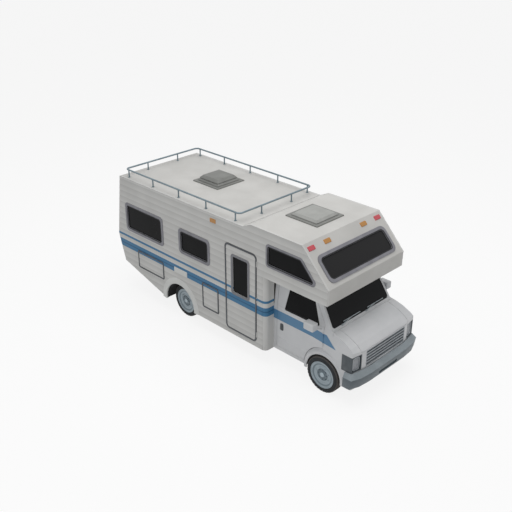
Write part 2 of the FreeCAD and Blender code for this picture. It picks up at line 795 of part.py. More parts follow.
def marker_lamps():
    """Clearance lamps on the nose, the sides and the tail, and the tail lamp clusters."""
    lamps = []
    nose = nose_frame()
    for y in (455.0, 905.0):
        lamp = lens_block(rectangle(y, y + 185.0, -167.0, -72.0), 12.0, 14.0)
        lamps.extend(both_sides(placed(lamp, nose)))
    x = COACH_FRONT_X - 1600.0
    side = lens_block(rectangle(x, x + 180.0, 2757.0, 2852.0), 12.0, 14.0)
    lamps.extend(both_sides(placed(side, RIGHT_WALL)))
    rear = rear_frame()
    for u in (-560.0, -80.0, 400.0):
        lamps.append(placed(lens_block(rectangle(u, u + 160.0, 1330.0, 1400.0), 12.0, 14.0), rear))
    tail = tail_frame()
    for u in (-1060.0, 820.0):
        lamps.append(placed(lens_block(rectangle(u, u + 240.0, 300.0, 520.0), 20.0, 22.0), tail))
    save("marker_lamps", lamps)


def tail_frame():
    bottom, kink = coach_profile()[0:2]
    up = V(kink[0] - bottom[0], 0, kink[1] - bottom[1])
    return wall_frame(V(bottom[0], 0, bottom[1]), up, V(-up.z, 0, up.x))


def lens_block(outline, radius, height):
    low = rounded(outline, radius)
    high = rounded(inset(outline, height / 2), radius)
    high.translate(V(0, 0, height))
    return Part.makeLoft([low, high], True)


# Chassis

def frame_rail():
    """The right channel rail, open towards the middle, with a pad under it at each jacking point."""
    x0 = TAIL_X + TAIL_BOTTOM_LEAN + WALL * 2
    x1 = FRONT_AXLE_X + FRONT_OVERHANG - BUMPER_SHEET - BUMPER_RAKE
    z0, z1 = RAIL_Z
    inner_y = -RAIL_HALF + RAIL_WIDTH
    rail = box(x0, x1, -RAIL_HALF, inner_y, z0, z1)
    rail = rail.cut(box(x0, x1, -RAIL_HALF + RAIL_SHEET, inner_y, z0 + RAIL_SHEET, z1 - RAIL_SHEET))
    half = JACK_PAD_LENGTH / 2
    pads = [box(x - half, x + half, -RAIL_HALF + JACK_PAD_INSET, inner_y - JACK_PAD_INSET, z0 - JACK_PAD_THICK, z0)
            for x in JACK_X]
    return fused([rail] + pads)


def chassis_frame():
    """Ladder frame, riveted up: rails, crossmembers between their webs, floor joists on top."""
    tail = TAIL_X + TAIL_BOTTOM_LEAN + WALL * 2
    inside = RAIL_HALF - RAIL_SHEET
    parts = both_sides(frame_rail())
    for x in [FRONT_AXLE_X + RADIATOR_X, tail + CROSS_WIDTH] + [REAR_AXLE_X + x for x in CROSS_X]:
        parts.append(box(x - CROSS_WIDTH, x, -inside, inside, *CROSS_Z))
    drop = FRONT_AXLE_X + GEARBOX_MOUNT_X
    low, high = GEARBOX_MOUNT_Z
    parts.append(box(drop - CROSS_WIDTH, drop, -RAIL_HALF, RAIL_HALF, low, high))
    parts.extend(both_sides(box(drop - CROSS_WIDTH, drop, -RAIL_HALF, -RAIL_HALF + RAIL_WIDTH, high, RAIL_Z[0])))
    reach = COACH_HALF - WALL
    joists = [COACH_FRONT_X - CORNER_RADIUS - GAP, COACH_FRONT_X + ENTRY_X[0] - JOIST_CLEAR, TAIL_X + TAIL_JOIST]
    for x in joists + [REAR_AXLE_X + x for x in JOIST_X]:
        parts.append(box(x - CROSS_WIDTH, x, -reach, reach, RAIL_Z[1], FLOOR_Z - FLOOR_THICK))
    return parts


def engine():
    """One block for the engine, on a mount to each rail."""
    x0, x1 = (FRONT_AXLE_X + x for x in ENGINE_X)
    block = box(x0, x1, -ENGINE_HALF, ENGINE_HALF, *ENGINE_Z)
    arm = box(FRONT_AXLE_X - 40.0, FRONT_AXLE_X + 40.0, ENGINE_HALF, RAIL_HALF - RAIL_SHEET,
              CROSS_Z[0], CROSS_Z[0] + 30.0)
    return fused([block] + both_sides(arm))


def driveline():
    """Bell housing and gearbox, with the shaft down to the rear axle's nose."""
    x0 = FRONT_AXLE_X + ENGINE_X[0]
    end = x0 - GEARBOX_LENGTH
    casing = Part.makeCone(BELL_RADIUS, GEARBOX_RADIUS, GEARBOX_LENGTH, V(x0, 0, DRIVE_Z), V(-1, 0, 0))
    mount_x = FRONT_AXLE_X + GEARBOX_MOUNT_X
    mount = box(mount_x - 50.0, mount_x - 10.0, -40.0, 40.0, GEARBOX_MOUNT_Z[1], DRIVE_Z - 60.0)
    flange = V(REAR_AXLE_X + AXLE_NOSE, 0, TYRE_RADIUS + AXLE_NOSE_RISE)
    front = V(end, 0, DRIVE_Z)
    shaft = rod(SHAFT_RADIUS, front, flange + (flange - front).normalize() * SHAFT_RADIUS)
    shaft = shaft.cut(box(REAR_AXLE_X, flange.x, -AXLE_NOSE_RADIUS, AXLE_NOSE_RADIUS, 0, DRIVE_Z))
    return fused([casing, mount, shaft])


def fuel_tank():
    """A tank between the rails under two bars that reach from web to web."""
    x1 = REAR_AXLE_X - TANK_BEHIND
    x0 = x1 - TANK_LENGTH
    low, high = TANK_Z
    tank = box(x0, x1, -TANK_HALF, TANK_HALF, low, high)
    edges = [edge for edge in tank.Edges if abs(edge.tangentAt(edge.FirstParameter).x) > 0.9
             and edge.CenterOfMass.z < high]
    tank = tank.makeFillet(TANK_CORNER, edges)
    reach = RAIL_HALF - RAIL_SHEET
    bars = [box(x, x + 40.0, -reach, reach, high, RAIL_Z[1] - RAIL_SHEET) for x in (x0 + 80.0, x1 - 120.0)]
    return fused([tank] + bars)


def exhaust():
    """A pipe outside the right rail with its silencer, over the axle to the tail."""
    y = -RAIL_HALF - EXHAUST_OFFSET
    x0 = FRONT_AXLE_X - 700.0
    x1 = TAIL_X + TAIL_BOTTOM_LEAN + WALL
    can_x = COACH_FRONT_X - 600.0
    can_y = y - SILENCER_RADIUS + EXHAUST_RADIUS + SILENCER_RIM
    parts = [rod(EXHAUST_RADIUS, V(x0, y, EXHAUST_Z), V(x1, y, EXHAUST_Z)),
             rod(SILENCER_RADIUS, V(can_x, can_y, EXHAUST_Z), V(can_x - SILENCER_LENGTH, can_y, EXHAUST_Z))]
    for x in (x0 - 100.0, can_x - SILENCER_LENGTH - 200.0, x1 + 200.0):
        parts.append(box(x - 15.0, x + 15.0, y - 5.0, -RAIL_HALF, EXHAUST_Z, EXHAUST_Z + 60.0))
    return fused(parts)


def rear_hitch():
    """Hitch bar under the tail with a flat ball plate, its hole upright."""
    x0 = TAIL_X + TAIL_BOTTOM_LEAN + WALL * 2
    low = RAIL_Z[0] - HITCH_DEPTH
    bar = box(x0, x0 + CROSS_WIDTH, -RAIL_HALF, RAIL_HALF, low, RAIL_Z[0])
    plate_x = x0 - HITCH_REACH
    tongue = box(plate_x, x0, -HITCH_HALF, HITCH_HALF, low, low + HITCH_PLATE)
    hole_x = plate_x + HITCH_HALF
    tongue = tongue.cut(rod(HITCH_HOLE, V(hole_x, 0, 0), V(hole_x, 0, RAIL_Z[0])))
    return fused([bar, tongue])


def chassis():
    save("chassis_frame", chassis_frame())
    save("engine_block", engine())
    save("driveline", driveline())
    save("fuel_tank", fuel_tank())
    save("exhaust", exhaust())
    save("rear_hitch", rear_hitch())


# Axles, springs and steering

def front_axle():
    """Dropped beam between the spring seats, stepped up to an upright eye at each end."""
    x = FRONT_AXLE_X
    z = TYRE_RADIUS
    half = EYE_HEIGHT / 2
    top = z - BEAM_DROP
    low = top - BEAM_DEPTH
    step = KINGPIN_Y - BEAM_STEP
    outline = [(-step, low), (step, low), (step + BEAM_DEPTH, z - half + 4.0), (KINGPIN_Y, z - half + 4.0),
               (KINGPIN_Y, z + half - 4.0), (step, z + half - 4.0), (step - BEAM_DEPTH, top)]
    outline += [(-u, v) for u, v in outline[:1:-1]]
    parts = [prism_x(outline, x - BEAM_HALF, x + BEAM_HALF)]
    for y in (-KINGPIN_Y, KINGPIN_Y):
        parts.append(rod(EYE_RADIUS, V(x, y, z - half), V(x, y, z + half)))
    beam = fused(parts)
    for y in (-KINGPIN_Y, KINGPIN_Y):
        beam = beam.cut(rod(KINGPIN_RADIUS + FIT, V(x, y, z - EYE_HEIGHT), V(x, y, z + EYE_HEIGHT)))
    return beam


def knuckle():
    """The right knuckle: yoke and kingpin, stub for the wheel, brake disc and steering arm."""
    x = FRONT_AXLE_X
    y = -KINGPIN_Y
    z = TYRE_RADIUS
    inner = EYE_HEIGHT / 2 + YOKE_SLACK
    outer = inner + YOKE_LUG
    back = y - EYE_RADIUS - YOKE_SLACK * 2
    face = back - YOKE_LUG
    parts = [box(x - YOKE_HALF, x + YOKE_HALF, face, back, z - outer, z + outer)]
    for z0, z1 in ((z + inner, z + outer), (z - outer, z - inner)):
        parts.append(box(x - YOKE_HALF, x + YOKE_HALF, back, y, z0, z1))
        parts.append(rod(YOKE_HALF, V(x, y, z0), V(x, y, z1)))
    parts.append(rod(KINGPIN_RADIUS, V(x, y, z - outer), V(x, y, z + outer)))
    parts.append(rod(SPINDLE_RADIUS, V(x, face, z), V(x, -FRONT_WHEEL_FACE + WHEEL_DISH + STUB_SHORT, z)))
    parts.append(rod(DISC_RADIUS, V(x, face, z), V(x, face - DISC_THICK, z)))
    pin_x = x - ARM_LENGTH
    parts.append(box(pin_x, x, y - ARM_HALF, y + ARM_HALF, z - outer, z - inner))
    parts.append(rod(ARM_HALF, V(pin_x, y, z - outer), V(pin_x, y, z - inner)))
    parts.append(rod(ROD_PIN_RADIUS, V(pin_x, y, ROD_Z - ROD_EYE_HALF - 4.0), V(pin_x, y, z - outer)))
    return fused(parts)


def tie_rod():
    """The track rod between the steering arms, an eye at each end."""
    x = FRONT_AXLE_X - ARM_LENGTH
    body = rod(ROD_RADIUS, V(x, -KINGPIN_Y, ROD_Z), V(x, KINGPIN_Y, ROD_Z))
    for y in (-KINGPIN_Y, KINGPIN_Y):
        low, high = V(x, y, ROD_Z - ROD_EYE_HALF), V(x, y, ROD_Z + ROD_EYE_HALF)
        body = body.fuse(rod(ROD_EYE_RADIUS, low, high)).cut(rod(ROD_PIN_RADIUS + FIT, low, high))
    return body.removeSplitter()


def rear_axle():
    """Axle tube with stubs for the twin wheels, the differential housing and its nose."""
    x = REAR_AXLE_X
    z = TYRE_RADIUS
    inner_face = REAR_WHEEL_FACE - TWIN_SPACING - TYRE_WIDTH
    reach = REAR_WHEEL_FACE - WHEEL_DISH - STUB_SHORT
    ball = Part.makeSphere(DIFF_RADIUS, V(x, 0, z))
    ball = ball.common(box(x - DIFF_RADIUS, x + DIFF_RADIUS, -DIFF_HALF, DIFF_HALF, 0, z * 2))
    nose_z = z + AXLE_NOSE_RISE
    return fused([rod(AXLE_TUBE, V(x, -inner_face, z), V(x, inner_face, z)),
                  rod(SPINDLE_RADIUS, V(x, -reach, z), V(x, reach, z)), ball,
                  rod(AXLE_NOSE_RADIUS, V(x, 0, nose_z), V(x + AXLE_NOSE, 0, nose_z))])


def arched_leaf(axle_x, seat_z, y, half_length, rise):
    """One leaf, an arc that is lowest over the axle and lifts by a rise at its ends."""
    def arc(z):
        ends = [V(axle_x + sign * half_length, y - LEAF_HALF, z + rise) for sign in (-1, 1)]
        return Part.Arc(ends[0], V(axle_x, y - LEAF_HALF, z), ends[1]).toShape()

    low, high = arc(seat_z), arc(seat_z + LEAF_THICK)
    ends = [Part.makeLine(low.Vertexes[i].Point, high.Vertexes[i].Point) for i in (0, 1)]
    face = Part.Face(Part.Wire([low, ends[1], high, ends[0]]))
    return face.extrude(V(0, LEAF_HALF * 2, 0))


def spring(axle_x, seat_z, y, half_length):
    """A leaf pack over an axle, shorter leaves below, with a hanger to the rail at each end."""
    rise = RAIL_Z[0] - SHACKLE - seat_z - LEAF_THICK * 3
    leaves = []
    for i, share in enumerate((0.5, 0.75, 1.0)):
        leaves.append(arched_leaf(axle_x, seat_z + i * LEAF_THICK, y, half_length * share, rise * share ** 2))
    for sign in (-1, 1):
        x = axle_x + sign * half_length
        eye_z = RAIL_Z[0] - SHACKLE
        leaves.append(rod(LEAF_EYE, V(x, y - LEAF_HALF, eye_z), V(x, y + LEAF_HALF, eye_z)))
        leaves.append(box(x - LEAF_EYE, x + LEAF_EYE, y - LEAF_HALF, y + LEAF_HALF, eye_z, RAIL_Z[0]))
    return fused(leaves)


def springs():
    front_seat = TYRE_RADIUS - BEAM_DROP
    rear_seat = TYRE_RADIUS + AXLE_TUBE
    y = RAIL_HALF - LEAF_HALF - 4.0
    packs = []
    for side in (-y, y):
        packs.append(spring(FRONT_AXLE_X, front_seat, side, FRONT_SPRING))
        packs.append(spring(REAR_AXLE_X, rear_seat, side, REAR_SPRING))
    return packs


# Wheels

def wheel_place(axle_x, face_y):
    """Puts a wheel that was drawn about the Z axis, face upwards, on the right side."""
    turn = FreeCAD.Rotation(V(1, 0, 0), 90)
    return FreeCAD.Placement(V(axle_x, -face_y, TYRE_RADIUS), turn)


def ring(profile):
    """Turns an outline of radius and height about the Z axis."""
    face = filled([V(r, 0, h) for r, h in profile])
    return face.revolve(V(0, 0, 0), V(0, 0, 1), 360)


def faceted_ring(profile, sides):
    """An outline of radius and height carried round the Z axis in flat steps."""
    rings = []
    for r, h in profile:
        angles = [2 * math.pi * i / sides for i in range(sides)]
        rings.append([V(r * math.cos(a), r * math.sin(a), h) for a in angles])
    faces = []
    for j, ring_points in enumerate(rings):
        before = rings[j - 1]
        for i in range(sides):
            faces.append(filled([before[i - 1], before[i], ring_points[i], ring_points[i - 1]]))
    return Part.Solid(Part.Shell(faces))


def tyre():
    """A tyre with its outer face at height 0 and its inner face below."""
    outer, width, shoulder, bead = TYRE_RADIUS, TYRE_WIDTH, TYRE_SHOULDER, TYRE_BEAD
    bore = TYRE_BORE / math.cos(math.pi / TYRE_SIDES)
    half = [(bore, -bead), (bore + 20.0, 0), (outer - shoulder, -bead / 2),
            (outer - 10.0, -shoulder * 0.6), (outer, -shoulder - 12.0)]
    return faceted_ring(half + [(r, -width - h) for r, h in half[::-1]], TYRE_SIDES)


def wheel(bore):
    """A steel wheel: barrel, dished disc with its hub, bored for the stub."""
    rim = TYRE_BORE - FIT
    width = TYRE_WIDTH
    sheet = 12.0
    barrel = ring([(rim - sheet, -8.0), (rim, -8.0), (rim, -width + 8.0), (rim - sheet, -width + 8.0)])
    disc = ring([(bore, -WHEEL_DISH - 30.0), (bore, -WHEEL_DISH + 10.0), (HUB_RADIUS, -WHEEL_DISH + 10.0),
                 (HUB_RADIUS + 12.0, -WHEEL_DISH), (rim - 70.0, -WHEEL_DISH + 18.0),
                 (rim - 40.0, -12.0), (rim - sheet + 1.0, -12.0), (rim - sheet + 1.0, -26.0),
                 (rim - 48.0, -26.0), (rim - 78.0, -WHEEL_DISH + 6.0), (HUB_RADIUS + 12.0, -WHEEL_DISH - 12.0),
                 (HUB_RADIUS, -WHEEL_DISH - 30.0)])
    return fused([barrel, disc])


def wheels():
    bore = SPINDLE_RADIUS + FIT
    front = wheel_place(FRONT_AXLE_X, FRONT_WHEEL_FACE)
    rear = wheel_place(REAR_AXLE_X, REAR_WHEEL_FACE)
    inner = wheel_place(REAR_AXLE_X, REAR_WHEEL_FACE - TWIN_SPACING)
    tyres = [placed(tyre(), rear), placed(tyre(), inner)]
    twin = turned_twin(bore)
    sets = {
        "tyre_front": [placed(tyre(), front)],
        "rim_front": [placed(wheel(bore), front)],
        "tyres_rear": tyres,
        "rims_rear": [placed(twin, rear)],
    }
    for name, shapes in sets.items():
        save(name + "_right", shapes)
        save(name + "_left", [mirrored(shape) for shape in shapes])


def turned_twin(bore):
    """Both rims of a rear pair with the hub that joins them, face at height 0."""
    outer = wheel(bore)
    inner = wheel(bore)
    inner.translate(V(0, 0, -TWIN_SPACING))
    hub = ring([(bore, -WHEEL_DISH), (HUB_RADIUS, -WHEEL_DISH),
                (HUB_RADIUS, -TWIN_SPACING - WHEEL_DISH), (bore, -TWIN_SPACING - WHEEL_DISH)])
    return fused([outer, inner, hub])


# Cab

def cab_side_profile(margin=0.0, bottom=CAB_BOTTOM_Z):
    """The cab in side view, in X and Z."""
    x = FRONT_AXLE_X
    top = BUNK_BOTTOM_Z
    screen_top = x + SCREEN_BASE_X - SCREEN_RUN * (top - SCREEN_BASE_Z)
    outline = [
        (COACH_FRONT_X, bottom),
        (x + NOSE_FACE_X + 19.0, bottom),
        (x + NOSE_FACE_X + 19.0, 735.0),
        (x + NOSE_FACE_X, GRILLE_TOP_Z),
        (x + 685.0, GRILLE_TOP_Z + 40.0),
        (x + 600.0, 1220.0),
        (x + 430.0, 1305.0),
        (x + 250.0, 1362.0),
        (x + SCREEN_BASE_X, SCREEN_BASE_Z),
        (screen_top, top),
        (COACH_FRONT_X, top),
    ]
    return inset(outline, margin) if margin else outline


def cab_plan(margin=0.0):
    """Half of the cab in plan and its mirror, in X and Y."""
    x = FRONT_AXLE_X
    half = [(COACH_FRONT_X, CAB_HALF), (x - 350.0, CAB_HALF), (x + 380.0, FENDER_HALF - 5.0),
            (x + 600.0, FENDER_HALF), (x + 668.0, FENDER_HALF - 15.0), (x + 705.0, LAMP_Y[0]),
            (x + 724.0, FENDER_HALF - 440.0)]
    half = [(px, -py) for px, py in half]
    full = half + [(x + NOSE_FACE_X + 19.0, 0.0)] + [(px, -py) for px, py in half[::-1]]
    return inset(full, margin) if margin else full


def cab_section(margin=0.0):
    """The cab in front view, in Y and Z: upright flanks, then leaning in."""
    half = [(FENDER_HALF, CAB_BOTTOM_Z - 200.0), (FENDER_HALF, 1040.0), (FENDER_HALF - 15.0, 1095.0),
            (CAB_HALF + 13.0, 1340.0), (CAB_HALF - 7.0, 1400.0), (CAB_HALF - 47.0, 1783.0),
            (CAB_HALF - 72.0, BUNK_BOTTOM_Z)]
    full = half + [(-y, z) for y, z in half[::-1]]
    return inset(full, margin) if margin else full


def cab_body(margin=0.0):
    """The cab's outer form, or the space inside it when a margin is given."""
    drop = 200.0 if margin else 0.0
    x0 = COACH_FRONT_X - drop
    x1 = FRONT_AXLE_X + NOSE_FACE_X + 50.0
    side = cab_side_profile(margin)
    plan = cab_plan(margin)
    section = cab_section(margin)
    if margin:
        side = [(x - drop if x < COACH_FRONT_X + margin * 2 else x,
                 z - drop if z < CAB_BOTTOM_Z + margin * 2 else z) for x, z in side]
        plan = [(x - drop if x < COACH_FRONT_X + margin * 2 else x, y) for x, y in plan]
    body = prism_y(side, -FENDER_HALF - 20.0, FENDER_HALF + 20.0)
    body = body.common(prism_z(plan, CAB_BOTTOM_Z - 300.0, BUNK_BOTTOM_Z + 10.0))
    return body.common(prism_x(section, x0, x1))


def door_outline(margin=0.0):
    x = FRONT_AXLE_X
    z0, z1 = DOOR_Z
    knee = z1 - (DOOR_FRONT + 370.0) / SCREEN_RUN
    outline = [(x + DOOR_REAR, z0), (x + DOOR_FRONT, z0), (x + DOOR_FRONT, knee),
               (x - 370.0, z1), (x + DOOR_REAR, z1)]
    return inset(outline, margin) if margin else outline


def door_block(margin):
    """The right door's full outline through the cab's side, less a margin."""
    block = prism_y(door_outline(margin), -FENDER_HALF - 50.0, -CAB_HALF + 300.0)
    arch = rod(DOOR_ARCH_RADIUS + margin, V(FRONT_AXLE_X, -FENDER_HALF - 60.0, TYRE_RADIUS),
               V(FRONT_AXLE_X, -CAB_HALF + 400.0, TYRE_RADIUS))
    return block.cut(arch)


def door_window_outline():
    x = FRONT_AXLE_X
    return [(x - 1098.0, 1355.0), (x - 180.0, 1365.0), (x - 370.0, 1885.0), (x - 1000.0, 1885.0)]


def door_window_block(margin=0.0, radius=35.0):
    place = wall_frame(V(0, 0, 0), V(0, 0, 1), V(0, -1, 0))
    outline = inset(door_window_outline(), margin) if margin else door_window_outline()
    block = plate(rounded(outline, radius), CAB_HALF - 300.0, FENDER_HALF + 50.0)
    return placed(block, place)


def screen_frame():
    up = V(-SCREEN_RUN, 0, 1)
    return wall_frame(V(FRONT_AXLE_X + SCREEN_BASE_X, 0, SCREEN_BASE_Z), up, V(1, 0, SCREEN_RUN))


def screen_outline():
    lean = math.hypot(1.0, SCREEN_RUN)
    v0 = 18.0
    v1 = (1975.0 - SCREEN_BASE_Z) * lean
    low, high = CAB_HALF - 52.0, CAB_HALF - 106.0
    return [(-low, v0), (low, v0), (high, v1), (-high, v1)]


def cab():
    outer = cab_body()
    inner = cab_body(CAB_SKIN)
    skin = outer.cut(inner)
    save("cab_shell", cab_shell(skin))
    save("front_fenders", front_fenders(skin))
    save("hood", hood(skin))
    save("windscreen", windscreen())
    save_doors(skin)
    save("head_lamps", head_lamps(outer))
    save("grille", grille())
    save("radiator", radiator())


def cab_shell(skin):
    """Pillars, header, sills, cowl, firewall and floor: the body that the doors close."""
    x = FRONT_AXLE_X
    shell = skin.common(box(COACH_FRONT_X, x + HOOD_REAR - GAP, -FENDER_HALF, FENDER_HALF,
                            CAB_BOTTOM_Z, BUNK_BOTTOM_Z))
    fender_zone = box(x + DOOR_FRONT - GAP, x + 900.0, -FENDER_HALF - 50.0, FENDER_HALF + 50.0,
                      0, FENDER_TOP_Z)
    shell = shell.cut(fender_zone)
    arch_zone = rod(DOOR_ARCH_RADIUS, V(x, -FENDER_HALF - 60.0, TYRE_RADIUS), V(x, FENDER_HALF + 60.0, TYRE_RADIUS))
    shell = shell.cut(arch_zone)
    screen = placed(plate(rounded(screen_outline(), 60.0), -CAB_SKIN * 3, CAB_SKIN), screen_frame())
    shell = shell.cut(screen)
    block = door_block(0.0)
    shell = shell.cut(block).cut(mirrored(block))
    inside = CAB_HALF - CAB_SKIN
    low = RAIL_Z[1]
    floor = box(COACH_FRONT_X, x + FIREWALL_X, -inside, inside, low, low + CAB_FLOOR_THICK)
    wall = box(x + FIREWALL_X - CAB_FLOOR_THICK, x + FIREWALL_X, -inside, inside, low, FENDER_TOP_Z + 60.0)
    parts = [shell, floor, wall]
    for sign in (-1, 1):
        y0, y1 = sorted((sign * (inside - 25.0), sign * inside))
        parts.append(box(COACH_FRONT_X, x - DOOR_ARCH_RADIUS - 20.0, y0, y1, CAB_BOTTOM_Z, low + CAB_FLOOR_THICK))
        y0, y1 = sorted((sign * (inside - 25.0), sign * CAB_HALF))
        parts.append(box(COACH_FRONT_X, x - DOOR_ARCH_RADIUS - 20.0, y0, y1, CAB_BOTTOM_Z, DOOR_Z[0] - GAP))
    body = fused(parts)
    tunnel = engine_space(40.0)
    body = body.cut(tunnel)
    for sign in (-1, 1):
        y0, y1 = sorted((sign * WELL_INNER_Y, sign * (FENDER_HALF + 60.0)))
        well = rod(ARCH_RADIUS + WELL_SHEET, V(x, y0, TYRE_RADIUS), V(x, y1, TYRE_RADIUS))
        body = body.cut(well)
    return hinged(body, hood_hinges(), False)


def engine_space(margin):
    block = engine().BoundBox
    return box(block.XMin - margin, block.XMax + margin, block.YMin - margin, block.YMax + margin,
               block.ZMin - 200.0, block.ZMax + margin)


def front_fenders(skin):
    """Both fenders and the panel round the grille, with the front wheel wells."""
    x = FRONT_AXLE_X
    clip = skin.common(box(x + DOOR_FRONT - 500.0, x + 900.0, -FENDER_HALF - 50.0, FENDER_HALF + 50.0,
                           CAB_BOTTOM_Z, SCREEN_BASE_Z))
    behind = box(x - 900.0, x + DOOR_FRONT - GAP + 6.0, -FENDER_HALF - 50.0, FENDER_HALF + 50.0, 0, SCREEN_BASE_Z)
    arch_zone = rod(DOOR_ARCH_RADIUS - SEAM, V(x, -FENDER_HALF - 60.0, TYRE_RADIUS), V(x, FENDER_HALF + 60.0, TYRE_RADIUS))
    clip = clip.cut(behind.cut(arch_zone))
    shell_zone = box(x - 900.0, x + HOOD_REAR, -FENDER_HALF - 50.0, FENDER_HALF + 50.0, FENDER_TOP_Z, BUNK_BOTTOM_Z)
    clip = clip.cut(shell_zone)
    clip = clip.cut(box(x + HOOD_REAR - 300.0, x + 900.0, -HOOD_HALF, HOOD_HALF, GRILLE_TOP_Z, BUNK_BOTTOM_Z))
    clip = clip.cut(box(x - 900.0, x + 640.0, -HOOD_HALF, HOOD_HALF, 0, BUNK_BOTTOM_Z))
    clip = clip.cut(box(x + 500.0, x + 900.0, -GRILLE_HALF, GRILLE_HALF, *GRILLE_Z))
    apron = RAIL_Z[1] + GAP
    clip = clip.cut(box(x + 500.0, x + 900.0, -GRILLE_HALF, GRILLE_HALF, 0, apron))
    wells = []
    for sign in (-1, 1):
        y0, y1 = sign * WELL_INNER_Y, sign * (CAB_HALF - CAB_SKIN / 2)
        shell = rod(ARCH_RADIUS + WELL_SHEET, V(x, y0, TYRE_RADIUS), V(x, y1, TYRE_RADIUS))
        shell = shell.cut(rod(ARCH_RADIUS, V(x, y0 + sign * WELL_SHEET, TYRE_RADIUS), V(x, y1 + sign, TYRE_RADIUS)))
        wells.append(shell.common(box(x - 900.0, x + 900.0, -FENDER_HALF, FENDER_HALF, RAIL_Z[1], 2000.0)))
        arch = rod(ARCH_RADIUS, V(x, y0 + sign * WELL_SHEET, TYRE_RADIUS), V(x, sign * (FENDER_HALF + 60.0), TYRE_RADIUS))
        clip = clip.cut(arch)
        lamp = box(x + LAMP_REAR, x + 900.0, *sorted((sign * LAMP_Y[0], sign * (FENDER_HALF + 50.0))), *LAMP_Z)
        clip = clip.cut(lamp)
    places = cab_door_hinges()
    halves = [hinge_half(place, False) for place in places]
    return fused([clip] + wells + halves + [mirrored(half) for half in halves])


def hood(skin):
    x = FRONT_AXLE_X
    panel = skin.common(box(x + HOOD_REAR, x + FRONT_OVERHANG, -HOOD_HALF + GAP, HOOD_HALF - GAP,
                            GRILLE_TOP_Z + GAP, BUNK_BOTTOM_Z))
    return hinged(panel, hood_hinges(), True)


def windscreen():
    return placed(plate(rounded(screen_outline(), 60.0), -GLASS_INSET - GLASS_THICK, -GLASS_INSET), screen_frame())


def flank_direction():
    """The way the cab's right flank runs forward ahead of its straight part."""
    (x0, y0), (x1, y1) = cab_plan()[1:3]
    return V(x1 - x0, y1 - y0, 0).normalize()


def cab_door_hinges():
    x = FRONT_AXLE_X + DOOR_FRONT - GAP / 2
    ahead = flank_direction()
    start = V(*cab_plan()[1], 0)
    skin = start + ahead * ((x - start.x) / ahead.x)
    out = V(ahead.y, -ahead.x, 0)
    return [(V(skin.x, skin.y, z), V(0, 0, 1), ahead * -1, out, CAB_DOOR_HINGE) for z in CAB_DOOR_HINGE_Z]


def hood_hinges():
    (x0, z0), (x1, z1) = cab_side_profile()[7:9]
    x = FRONT_AXLE_X + HOOD_REAR - GAP / 2
    ahead = V(x0 - x1, 0, z0 - z1).normalize()
    skin = V(x1, 0, z1) + ahead * ((x - x1) / ahead.x)
    out = V(-ahead.z, 0, ahead.x)
    return [(skin + V(0, y, 0), V(0, 1, 0), ahead, out, HOOD_HINGE) for y in (-HOOD_HINGE_Y, HOOD_HINGE_Y)]


def save_doors(skin):
    """The right cab door with its mirror, its glass, and their mirror images."""
    door = skin.common(door_block(GAP)).cut(door_window_block())
    door = hinged(door, cab_door_hinges(), True)
    door = fused([door, door_mirror()])
    glass = cab_body(GLASS_INSET).cut(cab_body(GLASS_INSET + GLASS_THICK)).common(door_window_block())
    save("cab_door_right", door)
    save("cab_door_left", mirrored(door))
    save("cab_door_glass_right", glass)
    save("cab_door_glass_left", mirrored(glass))


def door_mirror():
    """Mirror housing on two arms at the window's front lower corner."""
    x = FRONT_AXLE_X
    housing = box(x - 330.0, x - 90.0, -CAB_HALF - 318.0, -CAB_HALF - 158.0, 1400.0, 1560.0)
    housing = housing.makeFillet(25.0, housing.Edges)
    arm = rod(12.0, V(x - 130.0, -CAB_HALF + 12.0, 1320.0), V(x - 180.0, -CAB_HALF - 188.0, 1430.0))
    return fused([housing, arm])


def head_lamps(outer):
    """Corner lamp units: the housing follows the body, the lens stands on its face."""
    x = FRONT_AXLE_X
    units = []
    y0, y1 = LAMP_Y
    z0, z1 = LAMP_Z
    block = outer.common(box(x + LAMP_REAR, x + 900.0, -FENDER_HALF - 50.0, -y0, z0, z1))
    core = box(x + LAMP_REAR - 10.0, x + 600.0, -FENDER_HALF + 40.0, -y0 + 5.0, z0 - 5.0, z1 + 5.0)
    unit = block.cut(core)
    lens_y = -y0 - 130.0
    lens = rod(85.0, V(x + 640.0, lens_y, 905.0), V(x + 705.0, lens_y, 905.0))
    units.extend(both_sides(fused([unit, lens])))
    return units


def grille():
    """The grille: a frame in the opening, bars across it and ribs behind them."""
    x = FRONT_AXLE_X + NOSE_FACE_X
    z0, z1 = GRILLE_Z
    depth = 40.0
    sheet = 15.0
    frame = box(x - depth, x + 4.0, -GRILLE_HALF, GRILLE_HALF, z0, z1)
    frame = frame.cut(box(x - depth * 2, x + depth, -GRILLE_HALF + sheet, GRILLE_HALF - sheet, z0 + sheet, z1 - sheet))
    parts = [frame]
    pitch = (z1 - z0 - sheet) / (GRILLE_BARS + 1)
    for i in range(GRILLE_BARS):
        z = z0 + sheet / 2 + pitch * (i + 1)
        parts.append(box(x - depth + 10.0, x, -GRILLE_HALF + sheet / 2, GRILLE_HALF - sheet / 2, z - 13.0, z + 13.0))
    for y in (-300.0, 0.0, 300.0):
        parts.append(box(x - depth, x - depth + 12.0, y - 6.0, y + 6.0, z0 + 5.0, z1 - 5.0))
    return fused(parts)


def radiator():
    """The core behind the grille, standing on the front crossmember."""
    x1 = FRONT_AXLE_X + RADIATOR_X
    inside = RAIL_HALF - RAIL_WIDTH
    return box(x1 - CROSS_WIDTH, x1, -inside, inside, CROSS_Z[1], RADIATOR_TOP)


